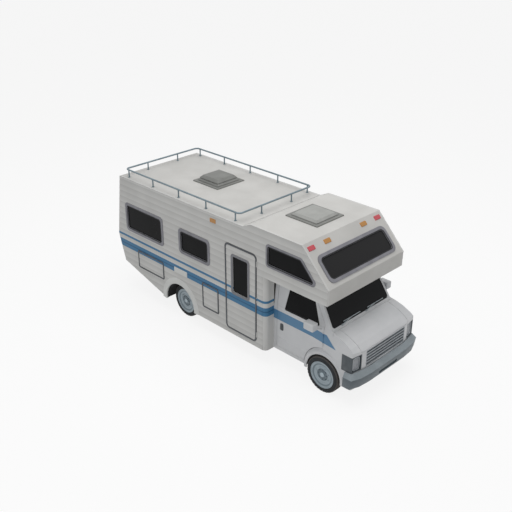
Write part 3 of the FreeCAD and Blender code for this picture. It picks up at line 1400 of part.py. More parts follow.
def bumper():
    """A wrap-around bumper of bent sheet, its face raked back towards the bottom."""
    x = FRONT_AXLE_X

    def outline(rake, inner):
        knee, bend = BUMPER_HALF - 215.0, BUMPER_HALF - 515.0
        half = [(x + 535.0, BUMPER_HALF), (x + 735.0 - rake, BUMPER_HALF - 5.0), (x + 812.0 - rake, knee),
                (x + FRONT_OVERHANG - rake, bend)]
        if inner:
            half = [(x + 535.0, BUMPER_HALF - inner), (x + 735.0 - rake - inner, BUMPER_HALF - 5.0 - inner),
                    (x + 812.0 - rake - inner, knee - inner / 2), (x + FRONT_OVERHANG - rake - inner, bend)]
        return half + [(px, -py) for px, py in half[::-1]]

    def wire(points, z):
        points = [V(px, py, z) for px, py in points]
        return Part.makePolygon(points + [points[0]])

    z0, z1 = BUMPER_Z
    body = Part.makeLoft([wire(outline(BUMPER_RAKE, 0.0), z0), wire(outline(0.0, 0.0), z1)], True)
    sheet = BUMPER_SHEET
    space = Part.makeLoft([wire(outline(BUMPER_RAKE, sheet), z0 - 1.0), wire(outline(0.0, sheet), z1 - sheet)], True)
    bracket = box(x + 640.0, x + FRONT_OVERHANG - BUMPER_RAKE + 5.0, -RAIL_HALF - 15.0, -RAIL_HALF,
                  RAIL_Z[0] + 20.0, RAIL_Z[1] - 20.0)
    space = space.fuse(prism_z(cab_plan(-GAP * 2), z0 - 1.0, z1 + 1.0))
    rail = box(x, x + FRONT_OVERHANG - BUMPER_RAKE - BUMPER_SHEET, -RAIL_HALF, -RAIL_HALF + RAIL_WIDTH + SEAM,
               RAIL_Z[0], RAIL_Z[1] + SEAM)
    space = fused([space] + both_sides(rail))
    return fused([body.cut(space)] + both_sides(bracket))


def dashboard():
    """Dash across the cab, engine cover between the seats, steering column and wheel."""
    x = FRONT_AXLE_X
    inside = CAB_HALF - CAB_SKIN - 10.0
    dash = box(x + FIREWALL_X - 310.0, x + FIREWALL_X - CAB_FLOOR_THICK, -inside, inside, 1060.0, 1290.0)
    cover = engine_space(75.0).common(box(x - 800.0, x + FIREWALL_X - CAB_FLOOR_THICK, -600.0, 600.0,
                                          RAIL_Z[1] + CAB_FLOOR_THICK, 1200.0))
    cover = cover.cut(engine_space(45.0))
    hub = V(x - 480.0, 420.0, 1330.0)
    axis = V(-0.85, 0, 0.52).normalize()
    column = rod(25.0, hub - axis * 220.0, hub)
    wheel_ring = Part.makeTorus(190.0, 14.0, hub, axis)
    spoke = rod(12.0, hub - V(0, 188.0, 0), hub + V(0, 188.0, 0))
    return fused([dash, cover, column, wheel_ring, spoke])


def seats():
    x = FRONT_AXLE_X - 1180.0
    z = RAIL_Z[1] + CAB_FLOOR_THICK
    base = box(x + 60.0, x + 480.0, -660.0, -420.0, z, 960.0)
    cushion = box(x, x + 520.0, -780.0, -300.0, 960.0, 1080.0)
    back = prism_y([(x, 1080.0), (x + 140.0, 1080.0), (x + 40.0, 1720.0), (x - 70.0, 1720.0)], -770.0, -310.0)
    head = prism_y([(x - 60.0, 1720.0), (x + 30.0, 1720.0), (x + 10.0, 1890.0), (x - 60.0, 1890.0)], -660.0, -420.0)
    return both_sides(fused([base, cushion, back, head]))


def wipers():
    """Two wiper arms with their blades, parked along the base of the screen."""
    place = screen_frame()
    arms = []
    for u in WIPER_PIVOTS:
        hub = V(u, WIPER_HUB + 2.0, 0)
        pivot = rod(WIPER_HUB, hub, hub + V(0, 0, WIPER_LIFT * 2))
        arm = box(u, u + WIPER_LENGTH, hub.y - WIPER_HALF, hub.y + WIPER_HALF, WIPER_LIFT, WIPER_LIFT * 2)
        arm.rotate(hub, V(0, 0, 1), WIPER_PARK)
        arms.append(placed(fused([pivot, arm]), place))
    return arms


def build():
    coach_walls()
    coach_windows()
    entry_door()
    hatches()
    save("coach_floor", coach_floor())
    roof_vents()
    save("roof_rack", fused(rack_rail() + rack_posts()))
    marker_lamps()
    chassis()
    save("front_axle", front_axle())
    save("rear_axle", rear_axle())
    save("leaf_springs", springs())
    right = knuckle()
    save("knuckle_right", right)
    save("knuckle_left", mirrored(right))
    save("tie_rod", tie_rod())
    wheels()
    cab()
    save("front_bumper", bumper())
    save("dashboard", dashboard())
    save("cab_seats", seats())
    save("wipers", wipers())


build()
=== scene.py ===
import math

import bmesh
import bpy
from mathutils import Matrix, Vector


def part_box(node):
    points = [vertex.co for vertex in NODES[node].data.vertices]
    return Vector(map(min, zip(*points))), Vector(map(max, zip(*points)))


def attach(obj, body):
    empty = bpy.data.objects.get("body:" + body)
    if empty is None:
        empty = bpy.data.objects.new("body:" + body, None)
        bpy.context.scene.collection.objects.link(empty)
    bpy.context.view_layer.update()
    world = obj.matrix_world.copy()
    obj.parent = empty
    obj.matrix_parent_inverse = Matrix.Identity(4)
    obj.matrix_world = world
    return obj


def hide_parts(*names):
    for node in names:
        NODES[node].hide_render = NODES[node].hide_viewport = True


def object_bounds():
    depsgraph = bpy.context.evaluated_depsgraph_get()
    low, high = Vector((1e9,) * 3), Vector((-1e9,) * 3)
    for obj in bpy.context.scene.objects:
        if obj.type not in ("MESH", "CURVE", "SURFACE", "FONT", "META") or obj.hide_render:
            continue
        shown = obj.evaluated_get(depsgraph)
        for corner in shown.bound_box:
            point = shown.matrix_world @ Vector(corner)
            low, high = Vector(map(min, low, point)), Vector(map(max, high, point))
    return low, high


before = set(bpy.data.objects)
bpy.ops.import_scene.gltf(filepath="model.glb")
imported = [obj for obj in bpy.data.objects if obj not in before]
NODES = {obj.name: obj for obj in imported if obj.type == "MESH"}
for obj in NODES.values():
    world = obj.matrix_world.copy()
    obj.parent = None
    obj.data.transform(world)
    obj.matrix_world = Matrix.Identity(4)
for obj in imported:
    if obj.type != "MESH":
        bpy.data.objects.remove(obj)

CAD_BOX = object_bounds()

bl_info = {
    "name": "Motorhome dressing",
    "version": (1, 0, 0),
    "blender": (4, 5, 0),
    "location": "3D View > Sidebar > Motorhome",
    "description": "Finishes and trim for a class C motorhome on its packed solids",
    "category": "Object",
}

MM = 0.001
TURN = math.pi / 2


def middle(node, axis):
    """The middle of a CAD node's box along an axis."""
    low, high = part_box(node)
    return (getattr(low, axis) + getattr(high, axis)) / 2


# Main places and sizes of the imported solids, in metres
FRONT_AXLE_X = middle("tyre_front_right", "x")
REAR_AXLE_X = middle("tyres_rear_right", "x")
AXLE_Z = middle("tyre_front_right", "z")
FRONT_WHEEL = Vector((FRONT_AXLE_X, 0, AXLE_Z))
REAR_WHEEL = Vector((REAR_AXLE_X, 0, AXLE_Z))
FRONT_WHEEL_FACE = 1.037
TWIN_SPACING = 0.250
COACH_FRONT_X = FRONT_AXLE_X - 1.385
TAIL_X = CAD_BOX[0][0]
COACH_HALF = 1.170
CAB_DOOR_FACE = 0.931

MIRROR = Matrix.Diagonal((1, -1, 1, 1))
TO_REAR_WHEEL = Matrix.Translation((REAR_AXLE_X - FRONT_AXLE_X, 0.012, 0))
SIDES = ((-1, "right"), (1, "left"))


# Small tools

def linear(colour):
    """Linear values for a shader, from an sRGB hex colour or from a colour property."""
    if not isinstance(colour, str):
        return tuple(colour)
    channels = [int(colour[i:i + 2], 16) / 255 for i in (1, 3, 5)]
    bent = [c / 12.92 if c <= 0.04045 else ((c + 0.055) / 1.055) ** 2.4 for c in channels]
    return (*bent, 1.0)


def add_node(tree, kind, inputs=(), output=0, **settings):
    """Adds a shader node, sets its properties, fills or links its inputs and gives an output, or the node."""
    item = tree.nodes.new("ShaderNode" + kind)
    for name, value in settings.items():
        setattr(item, name, value)
    for key, value in inputs.items() if isinstance(inputs, dict) else enumerate(inputs):
        if isinstance(value, bpy.types.NodeSocket):
            tree.links.new(value, item.inputs[key])
        else:
            item.inputs[key].default_value = value
    return item if output is None else item.outputs[output]


def new_material(name, colour, roughness, **sockets):
    """A principled material with its plain values set on the shader's own sockets."""
    material = bpy.data.materials.new(name)
    material.use_nodes = True
    tree = material.node_tree
    shader = tree.nodes["Principled BSDF"]
    shader.inputs["Base Color"].default_value = linear(colour)
    shader.inputs["Roughness"].default_value = roughness
    for key, value in sockets.items():
        shader.inputs[key.replace("_", " ")].default_value = value
    material.diffuse_color = linear(colour)
    return material, tree, shader


def axes(tree):
    """The place ahead, the distance out to either side and the height, as sockets."""
    x, y, z = add_node(tree, "SeparateXYZ", [add_node(tree, "TexCoord", output="Object")], None).outputs
    return x, add_node(tree, "Math", [y], operation="ABSOLUTE"), z


def patches(tree, size_mm, low, high):
    """A value that drifts from low to high in soft patches about a size across."""
    place = add_node(tree, "TexCoord", output="Object")
    noise = add_node(tree, "TexNoise", {"Vector": place, "Scale": 1000.0 / size_mm, "Detail": 4.0})
    return add_node(tree, "MapRange", (noise, 0.35, 0.65, low, high))


def mottled(tree, size_mm, colour, worn):
    """A colour that wears to a second one in patches."""
    inputs = {0: patches(tree, size_mm, 0.0, 1.0), 6: linear(colour), 7: linear(worn)}
    return add_node(tree, "Mix", inputs, 2, data_type="RGBA")


def weathered(tree, shader, colour, worn, size_mm, rough_low, rough_high):
    """Slow colour change and a patchy sheen, as on paint that has stood outdoors."""
    tone = mottled(tree, size_mm, colour, worn)
    tree.links.new(tone, shader.inputs["Base Color"])
    tree.links.new(patches(tree, size_mm, rough_low, rough_high), shader.inputs["Roughness"])
    return tone


def grained(tree, shader, size_mm, detail, strength, depth_mm):
    """A fine surface grain, raised as relief."""
    place = add_node(tree, "TexCoord", output="Object")
    grain = add_node(tree, "TexNoise", {"Vector": place, "Scale": 1000.0 / size_mm, "Detail": detail})
    bump = add_node(tree, "Bump", {"Height": grain, "Strength": strength, "Distance": depth_mm * MM})
    tree.links.new(bump, shader.inputs["Normal"])


def region(tree, *tests):
    """A mask that is one where every test passes: each is a socket, an operation and its other values."""
    mask = 1.0
    for value, operation, *against in tests:
        passed = add_node(tree, "Math", (value, *against), operation=operation)
        mask = add_node(tree, "Math", (passed, mask), operation="MULTIPLY")
    return mask


def painted(tree, tone, *layers):
    """Lays colours over a tone, one after another, each where its mask is one."""
    for mask, colour in layers:
        paint = colour if isinstance(colour, bpy.types.NodeSocket) else linear(colour)
        tone = add_node(tree, "Mix", {0: mask, 6: tone, 7: paint}, 2, data_type="RGBA")
    return tone


def axle_radius(tree):
    """The distance from the nearer axle's line, in metres."""
    x, _, z = axes(tree)
    place = add_node(tree, "CombineXYZ", (x, 0.0, z))
    radii = [add_node(tree, "VectorMath", (place, (axle, 0.0, AXLE_Z)), "Value", operation="DISTANCE")
             for axle in (FRONT_AXLE_X, REAR_AXLE_X)]
    return add_node(tree, "Math", radii, operation="MINIMUM")


def paint_node(material, *names):
    """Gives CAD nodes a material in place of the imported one."""
    for name in names:
        data = NODES[name].data
        data.materials.clear()
        data.materials.append(material)


def finish_of(node):
    """The material that a CAD node was given."""
    return NODES[node].data.materials[0]


# Modelling tools

def object_mode():
    """Leaves edit mode, if a piece is open in it."""
    if bpy.context.mode != "OBJECT":
        bpy.ops.object.mode_set(mode="OBJECT")


def only(piece):
    """Selects one piece by itself and makes it the active one."""
    object_mode()
    bpy.ops.object.select_all(action="DESELECT")
    piece.select_set(True)
    bpy.context.view_layer.objects.active = piece


def all_selected():
    """Selects all of the mesh in edit mode."""
    bpy.ops.mesh.select_all(action="SELECT")


def faced_out():
    """Turns all faces of the closed mesh in edit mode outwards."""
    all_selected()
    bpy.ops.mesh.normals_make_consistent(inside=False)


def begin(kind, name, **settings):
    """Adds a primitive by itself, names it and opens it in edit mode."""
    object_mode()
    bpy.ops.object.select_all(action="DESELECT")
    getattr(bpy.ops.mesh, f"primitive_{kind}_add")(**settings)
    piece = bpy.context.object
    piece.name = name
    bpy.ops.object.transform_apply()
    bpy.ops.object.mode_set(mode="EDIT")
    bpy.ops.mesh.select_mode(type="VERT")
    return piece


def pick(test, domain="faces"):
    """Selects only the faces, edges or vertices that pass a test."""
    bpy.ops.mesh.select_mode(type={"faces": "FACE", "edges": "EDGE", "verts": "VERT"}[domain])
    bpy.ops.mesh.select_all(action="DESELECT")
    data = bpy.context.edit_object.data
    mesh = bmesh.from_edit_mesh(data)
    for item in getattr(mesh, domain):
        if test(item):
            item.select_set(True)
    bmesh.update_edit_mesh(data)


def every(item):
    """A test for pick that passes everything."""
    return True


def within(**limits):
    """A test for pick that passes faces whose middle lies between limits along x, y or z."""
    def test(face):
        place = face.calc_center_median()
        return all(low < getattr(place, axis) < high for axis, (low, high) in limits.items())
    return test


def extrude(x=0.0, y=0.0, z=0.0):
    """Extrudes what is selected by a distance."""
    bpy.ops.mesh.extrude_region_move(TRANSFORM_OT_translate={"value": (x, y, z)})


def stepped(*steps):
    """Insets the selected face and moves it, once for each width and vector."""
    for width, move in steps:
        bpy.ops.mesh.inset(thickness=width)
        bpy.ops.transform.translate(value=move)


def drawn(name, points):
    """Draws a line by extruding one corner of a plane from point to point."""
    start = Vector(points[0])
    size = 0.01
    piece = begin("plane", name, size=size, location=start)
    pick(lambda corner: corner.co.x > start.x or corner.co.y > start.y, "verts")
    bpy.ops.mesh.delete(type="VERT")
    all_selected()
    bpy.ops.transform.translate(value=(size / 2, size / 2, 0.0))
    for here, there in zip(points, points[1:]):
        extrude(*(Vector(there) - Vector(here)))
    return piece


def outlined(name, points, depth):
    """A block: a drawn outline, closed, filled and extruded by a vector."""
    piece = drawn(name, points)
    all_selected()
    bpy.ops.mesh.edge_face_add()
    all_selected()
    extrude(*depth)
    faced_out()
    return piece


def modify(piece, kind, **settings):
    """Adds a modifier, sets it and applies it."""
    object_mode()
    bpy.context.view_layer.objects.active = piece
    modifier = piece.modifiers.new(kind.lower(), kind)
    for key, value in settings.items():
        setattr(modifier, key, value)
    bpy.ops.object.modifier_apply(modifier=modifier.name)


def wall_frame(origin, along, out):
    """A frame on a wall: along it, up it and out of it."""
    along, out = Vector(along).normalized(), Vector(out).normalized()
    return Matrix.Translation(origin) @ Matrix((along, out.cross(along), out)).transposed().to_4x4()


def coach_side(side, depth):
    """A frame on one side, at a depth, whose first axis runs ahead on the right and back on the left."""
    return wall_frame((0, side * depth, 0), (-side, 0, 0), (0, side, 0))


def along_side(side, start, end):
    """A span of the coach's length, as it is measured in the frame of one side."""
    return tuple(sorted((-side * start, -side * end)))


def sheet(name, wall, span, rise, corner):
    """A flat panel in a wall's frame, with its corners rounded."""
    centre = wall @ Vector((sum(span) / 2, sum(rise) / 2, 0))
    piece = begin("plane", name, size=1.0)
    bpy.ops.object.mode_set(mode="OBJECT")
    size = Matrix.Diagonal((span[1] - span[0], rise[1] - rise[0], 1.0, 1.0))
    piece.matrix_world = Matrix.Translation(centre) @ wall.to_3x3().to_4x4() @ size
    bpy.ops.object.transform_apply()
    bpy.ops.object.mode_set(mode="EDIT")
    if corner:
        pick(every, "verts")
        bpy.ops.mesh.bevel(offset=corner, segments=6, affect="VERTICES")
    return piece


def hollowed(width):
    """Turns the panel in edit mode into a ring of a width."""
    pick(every)
    bpy.ops.mesh.inset(thickness=width)
    bpy.ops.mesh.delete(type="FACE")


def copied(piece, name, matrix):
    """A copy with its own mesh, placed by a matrix."""
    only(piece)
    bpy.ops.object.duplicate()
    copy = bpy.context.object
    copy.name = name
    copy.matrix_world = matrix
    bpy.ops.object.transform_apply()
    if matrix.determinant() < 0:
        bpy.ops.object.mode_set(mode="EDIT")
        faced_out()
        bpy.ops.object.mode_set(mode="OBJECT")
    return copy


def left_of(piece, matrix=MIRROR):
    """The left piece that goes with a right one."""
    return copied(piece, piece.name.replace("right", "left"), matrix)


def complete(piece, material, body, smooth, replaced=()):
    """Shades a piece, gives it its finish and sets what it rides on."""
    only(piece)
    if smooth:
        bpy.ops.object.shade_smooth_by_angle(angle=math.radians(smooth))
    piece.data.materials.clear()
    piece.data.materials.append(material)
    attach(piece, body)
    if replaced:
        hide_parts(*replaced)


def turned(name, centre, rings, vertices=96):
    """A shape turned round an axle: a circle extruded and resized ring by ring."""
    radius, y = rings[0]
    piece = begin("circle", name, vertices=vertices, radius=radius, location=(centre.x, y, centre.z),
                  rotation=(TURN, 0, 0))
    all_selected()
    for new_radius, new_y in rings[1:]:
        extrude(y=new_y - y)
        k = new_radius / radius
        bpy.ops.transform.resize(value=(k, 1, k), center_override=(centre.x, new_y, centre.z))
        radius, y = new_radius, new_y
    return piece


def open_ends():
    """Selects the first and last rings of a turned shape."""
    pick(lambda edge: len(edge.link_faces) == 1, "edges")


def moulding(name, centre, side, profile, foot):
    """A closed ring turned from a profile round an axle and cut off level at its foot."""
    piece = turned(name, centre, [(radius, side * y) for radius, y in profile])
    open_ends()
    bpy.ops.mesh.bridge_edge_loops()
    faced_out()
    all_selected()
    bpy.ops.mesh.bisect(plane_co=(0, 0, foot), plane_no=(0, 0, 1), use_fill=True, clear_inner=True)
    return piece


def joined(pieces):
    """Joins pieces into the first one."""
    only(pieces[0])
    for piece in pieces:
        piece.select_set(True)
    bpy.ops.object.join()
    return pieces[0]


def node_copy(node, name):
    """A merged copy of a CAD node's mesh as a new piece, in edit mode."""
    piece = bpy.data.objects.new(name, NODES[node].data.copy())
    bpy.context.scene.collection.objects.link(piece)
    only(piece)
    bpy.ops.object.mode_set(mode="EDIT")
    all_selected()
    bpy.ops.mesh.remove_doubles(threshold=0.00005)
    return piece


# Finishes

# Height of the middle and half the height of each blue band, and of the dark line in the wide one
STRIPES = ((1.4735, 0.0285), (1.2475, 0.0975))
STRIPE_LINE = (1.250, 0.014)
CAB_STRIPE = (1.170, 0.105)
# The cab's band is cut off slantwise: over the front axle at this height, and ahead by this much for
# each unit below it
CAB_STRIPE_CUT_Z = 1.289
CAB_STRIPE_LEAN = 1.235
# The entry window's frame: middle and half its size, along the coach and up
ENTRY_FRAME_X = (COACH_FRONT_X - 0.7195, 0.30)
ENTRY_FRAME_Z = (1.796, 0.49)
# The lowest lap of the siding, and the height of the turned edge of each
LAP_BASE = 0.454
LAP_RISER = 0.004

PLAIN_FINISHES = {
    # Name: colour, worn colour, size of its patches in mm, roughness, metallic, grain in mm and its strength

    # Stoved enamel on steel tube: an even satin blue grey
    "blue_grey_rack_enamel": ("#7E8E96", "#6E7E86", 200.0, 0.45, 0.3, 3.0, 0.1),
    # Covered plywood: dark, flat and walked dull
    "plywood_floor_covering": ("#4A4744", "#3F3C3A", 300.0, 0.75, 0.0, 3.0, 0.1),
    # Moulded ABS: pale silver grey with a satin face
    "satin_grille_plastic": ("#A3A9AE", "#959BA0", 90.0, 0.45, 0.0, 3.0, 0.1),
    # Moulded ABS: charcoal, a little glossier than the grille
    "lamp_housing_plastic": ("#495055", "#40474C", 90.0, 0.4, 0.0, 3.0, 0.1),
    # Embossed vinyl over foam: black, with a leathery grain that takes the shine off
    "black_grained_vinyl": ("#2B2C2E", "#222324", 40.0, 0.6, 0.0, 3.0, 0.1),
    # Brushed chassis paint: black, browned in patches by road dirt
    "chassis_black_paint": ("#2A2B2D", "#3A3633", 150.0, 0.6, 0.0, 3.0, 0.1),
    # Sand cast iron: rough and brownish, with the grit of its mould
    "sand_cast_iron": ("#4E4C4A", "#5A4C42", 60.0, 0.75, 0.3, 2.0, 0.3),
    # Aluminised steel: dull silver, heated brown in patches
    "aluminised_exhaust_steel": ("#8B8680", "#6F5E50", 120.0, 0.5, 0.7, 3.0, 0.1),
    # Self-levelling lap sealant, laid along a joint: a matt grey bead
    "grey_lap_sealant": ("#8E8E8B", "#858582", 60.0, 0.7, 0.0, 3.0, 0.1),
    # Extruded EPDM rubber: matt black, which outlines each pane
    "black_window_rubber": ("#1B1C1E", "#242527", 60.0, 0.8, 0.0, 3.0, 0.1),
    # Sprayed bitumen: black, matt and lumpy, so the wells read as deep
    "bitumen_underseal": ("#17181A", "#202123", 90.0, 0.85, 0.0, 5.0, 0.3),
    # Pressed bright steel: a pale glint round the lens
    "bright_rim_steel": ("#B9BEC2", "#A5AAAE", 50.0, 0.3, 0.6, 3.0, 0.1),
    # Stoved enamel on steel strip: light grey, thin against the screen
    "grey_wiper_enamel": ("#969EA2", "#878F93", 40.0, 0.45, 0.3, 3.0, 0.1),
    # Enamel on die cast zinc: nearly black, smooth
    "black_handle_enamel": ("#3D4347", "#33393D", 40.0, 0.4, 0.0, 3.0, 0.1),
    # Bright dipped aluminium extrusion: a thin pale line
    "bright_strip_aluminium": ("#D4D6D8", "#C6C8CA", 80.0, 0.35, 0.3, 3.0, 0.1),
    # Silvered float glass: a sharp mirror
    "silvered_mirror_glass": ("#B9BEC2", "#B2B7BB", 200.0, 0.12, 0.9, 3.0, 0.1),
    # Vinyl on pressed steel: dark grey with a fine grain
    "grained_base_vinyl": ("#2C2D30", "#252629", 60.0, 0.6, 0.0, 3.0, 0.1),
}


def plain_finish(name):
    """A named finish with slow colour change and a fine surface grain."""
    colour, worn, size_mm, rough, metallic, grain_mm, grain = PLAIN_FINISHES[name]
    material, tree, shader = new_material(name, colour, rough, Metallic=metallic)
    weathered(tree, shader, colour, worn, size_mm, rough - 0.06, rough + 0.06)
    grained(tree, shader, grain_mm, 2.0, grain, 0.4)
    return material


def coach_paint(name, colour, worn, settings=None):
    """Baked enamel on aluminium sheet: even, slightly chalky. The settings add painted shade under the laps
    and blue decal bands.
    """
    material, tree, shader = new_material(name, colour, 0.45, IOR=1.5, Specular_IOR_Level=0.3)
    tone = weathered(tree, shader, colour, worn, 600.0, 0.42, 0.56)
    if settings:
        x, side, z = axes(tree)
        # Painted shade: each lap darkens towards its top, where the foot of the lap above overhangs it, on
        # the outer face alone
        pitch = settings.lap_pitch
        height = add_node(tree, "Math", (z, LAP_BASE + pitch, LAP_BASE), operation="WRAP")
        lap_shade = add_node(tree, "MapRange", (height, LAP_BASE + 0.1 * pitch, LAP_BASE + pitch, 0.0, 0.45))
        outer = region(tree, (side, "GREATER_THAN", COACH_HALF - 0.001))
        lap_shade_mask = add_node(tree, "Math", (lap_shade, outer), operation="MULTIPLY")
        # The entry window's grey frame is the only part of the door that stands this far out
        extrusion = region(tree, (x, "COMPARE", *ENTRY_FRAME_X), (z, "COMPARE", *ENTRY_FRAME_Z),
                           (side, "GREATER_THAN", COACH_HALF + 0.008))
        bands = [(region(tree, (z, "COMPARE", *stripe)), settings.stripe_colour) for stripe in STRIPES]
        # The first grey laid on is the painted shade under the laps
        tone = painted(tree, tone, (lap_shade_mask, "#A6A6A4"), *bands,
                       (region(tree, (z, "COMPARE", *STRIPE_LINE)), "#2E5A7C"), (extrusion, "#77787D"))
        tree.links.new(tone, shader.inputs["Base Color"])
    grained(tree, shader, 9.0, 2.0, 0.1, 0.4)
    return material


def cab_paint(colour):
    """Two-pack enamel on pressed steel: cooler and glossier than the coach, with the band's slanted end."""
    material, tree, shader = new_material("cab_gloss_enamel", colour, 0.35, IOR=1.5, Specular_IOR_Level=0.35,
                                          Coat_Weight=0.1, Coat_Roughness=0.15)
    tone = weathered(tree, shader, colour, "#C3C5C7", 450.0, 0.3, 0.4)
    x, side, z = axes(tree)
    cut = CAB_STRIPE_CUT_Z * CAB_STRIPE_LEAN + FRONT_AXLE_X
    slant = add_node(tree, "Math", (z, -CAB_STRIPE_LEAN, cut), operation="MULTIPLY_ADD")
    decal = region(tree, (z, "COMPARE", *CAB_STRIPE), (x, "LESS_THAN", slant), (side, "COMPARE", 0.95, 0.09))
    # Inside the front arches the panels are black
    arch = region(tree, (axle_radius(tree), "LESS_THAN", 0.541), (side, "LESS_THAN", 0.935))
    tree.links.new(painted(tree, tone, (decal, "#4F7C9F"), (arch, "#1C1D1F")), shader.inputs["Base Color"])
    return material


def tinted_glass():
    """Grey privacy glass: nearly black from outside, with a weak clear reflection, and a painted reflection
    that makes the sloped windscreen and nose paler.
    """
    material, tree, shader = new_material("tinted_safety_glass", "#101112", 0.12, IOR=1.52,
                                          Specular_IOR_Level=0.06)
    tone = weathered(tree, shader, "#0E0F10", "#131415", 350.0, 0.1, 0.16)
    x, side, z = axes(tree)
    screen = region(tree, (z, "LESS_THAN", 2.0), (side, "LESS_THAN", 0.86),
                    (x, "GREATER_THAN", FRONT_AXLE_X - 0.3))
    nose = region(tree, (x, "GREATER_THAN", FRONT_AXLE_X - 0.36), (z, "GREATER_THAN", 2.2),
                  (side, "LESS_THAN", 1.1))
    # Painted reflection: the sloped windscreen and nose panes are coloured paler
    tree.links.new(painted(tree, tone, (screen, "#1D1E1F"), (nose, "#2A2A2B")), shader.inputs["Base Color"])
    return material


def frame_aluminium(name, colour, worn):
    """Grey anodised aluminium extrusion: dull metal with a fine drawn grain along it."""
    material, tree, shader = new_material(name, colour, 0.5, Metallic=0.2, Specular_IOR_Level=0.3)
    weathered(tree, shader, colour, worn, 220.0, 0.46, 0.58)
    place = add_node(tree, "TexCoord", output="Object")
    along = add_node(tree, "Mapping", {"Vector": place, "Scale": (4.0, 4.0, 160.0)})
    grain = add_node(tree, "TexNoise", {"Vector": along, "Scale": 3.0, "Detail": 2.0})
    bump = add_node(tree, "Bump", {"Height": grain, "Strength": 0.08, "Distance": 0.3 * MM})
    tree.links.new(bump, shader.inputs["Normal"])
    return material


def tyre_rubber():
    """Carbon black rubber: matt, and browned by road dust on the tread."""
    material, tree, shader = new_material("weathered_tyre_rubber", "#2E3133", 0.85, Specular_IOR_Level=0.25)
    tone = weathered(tree, shader, "#2C2F31", "#383A3C", 60.0, 0.78, 0.95)
    dust = add_node(tree, "MapRange", (axle_radius(tree), 0.360, 0.374, 0.0, 1.0))
    tree.links.new(painted(tree, tone, (dust, "#575452")), shader.inputs["Base Color"])
    grained(tree, shader, 6.0, 3.0, 0.25, 0.8)
    return material


WHEEL_SHADE_AND_HIGHLIGHT = (
    # Middle and half width of each ring round the axle, and its colour: painted shade in the recessed dish
    # and in the deep groove near the edge, and then a painted highlight on the raised cap
    (0.094, 0.036, "#6C787F"),
    (0.228, 0.016, "#6C787F"),
    (0.0, 0.050, "#A9B6BD"),
)


def wheel_enamel():
    """Silver enamel on pressed steel, with painted shade in the dish and in the groove near the edge and a
    painted highlight on the hub cap.
    """
    material, tree, shader = new_material("silver_wheel_enamel", "#98A4AB", 0.4, Metallic=0.35)
    tone = weathered(tree, shader, "#98A4AB", "#8E9AA1", 120.0, 0.32, 0.45)
    radius = axle_radius(tree)
    # Painted shade and highlight, in rings round the axle
    rings = [(region(tree, (radius, "COMPARE", *ring)), paint) for *ring, paint in WHEEL_SHADE_AND_HIGHLIGHT]
    tree.links.new(painted(tree, tone, *rings), shader.inputs["Base Color"])
    return material


def vent_plastic():
    """Moulded ABS vents: chalky grey flanges, the rear lid greyer than the newer front one."""
    material, tree, shader = new_material("moulded_vent_plastic", "#767774", 0.6)
    x, _, z = axes(tree)
    lid = region(tree, (x, "GREATER_THAN", 0.5), (z, "GREATER_THAN", 3.084))
    tone = painted(tree, mottled(tree, 180.0, "#7A7B78", "#727370"),
                   (lid, mottled(tree, 180.0, "#9C9D9A", "#949592")))
    tree.links.new(tone, shader.inputs["Base Color"])
    grained(tree, shader, 4.0, 2.0, 0.15, 0.4)
    return material


def bumper_paint():
    """Enamelled pressed steel in one colour, with light and shade painted in: pale on the upward brow, dark
    on the face below, mottled as if stone-chipped.
    """
    material, tree, shader = new_material("painted_bumper_steel", "#59636A", 0.45, Metallic=0.1)
    # Painted highlight on the brow above this height, painted shade on the face below it
    brow = add_node(tree, "MapRange", (axes(tree)[2], 0.630, 0.636, 0.0, 1.0))
    tone = painted(tree, mottled(tree, 260.0, "#5C666C", "#525C62"),
                   (brow, mottled(tree, 260.0, "#8D969B", "#848D92")))
    tree.links.new(tone, shader.inputs["Base Color"])
    grained(tree, shader, 3.0, 2.0, 0.1, 0.4)
    return material


def lamp_glass():
    """Fluted clear lamp glass, glossy, in upright ribs 14 mm apart; its pale colour is a painted reflection
    of the bright reflector behind it.
    """
    material, tree, shader = new_material("fluted_lamp_glass", "#9A9DA2", 0.15, IOR=1.5)
    turns = add_node(tree, "Math", (axes(tree)[1], math.tau / 0.014), operation="MULTIPLY")
    ribs = add_node(tree, "Math", [turns], operation="SINE")
    bump = add_node(tree, "Bump", {"Height": ribs, "Strength": 0.5, "Distance": 1.5 * MM})
    # The pale base colour is a painted reflection of the reflector behind the glass
    tree.links.new(mottled(tree, 90.0, "#9A9DA2", "#8A8D92"), shader.inputs["Base Color"])
    tree.links.new(bump, shader.inputs["Normal"])
    return material


def seat_cloth():
    """Woven wool-mix seat cloth: a plain weave drawn at 4 mm so that it shows, with a soft sheen."""
    material, tree, shader = new_material("woven_seat_cloth", "#4A4C52", 0.9, Sheen_Weight=0.3)
    turns = [add_node(tree, "Math", (place, math.tau / 0.004), operation="MULTIPLY") for place in axes(tree)]
    along, across, up = (add_node(tree, "Math", [turn], operation="SINE") for turn in turns)
    both = add_node(tree, "Math", (along, up), operation="ADD")
    weave = add_node(tree, "Math", (across, both), operation="MULTIPLY")
    threads = add_node(tree, "MapRange", (weave, -1.0, 1.0, 0.0, 1.0))
    tone = painted(tree, linear("#3C3E44"), (threads, "#55575E"), (patches(tree, 160.0, 0.0, 0.5), "#5C5B5C"))
    tree.links.new(tone, shader.inputs["Base Color"])
    bump = add_node(tree, "Bump", {"Height": weave, "Strength": 0.4, "Distance": 0.6 * MM})
    tree.links.new(bump, shader.inputs["Normal"])
    return material


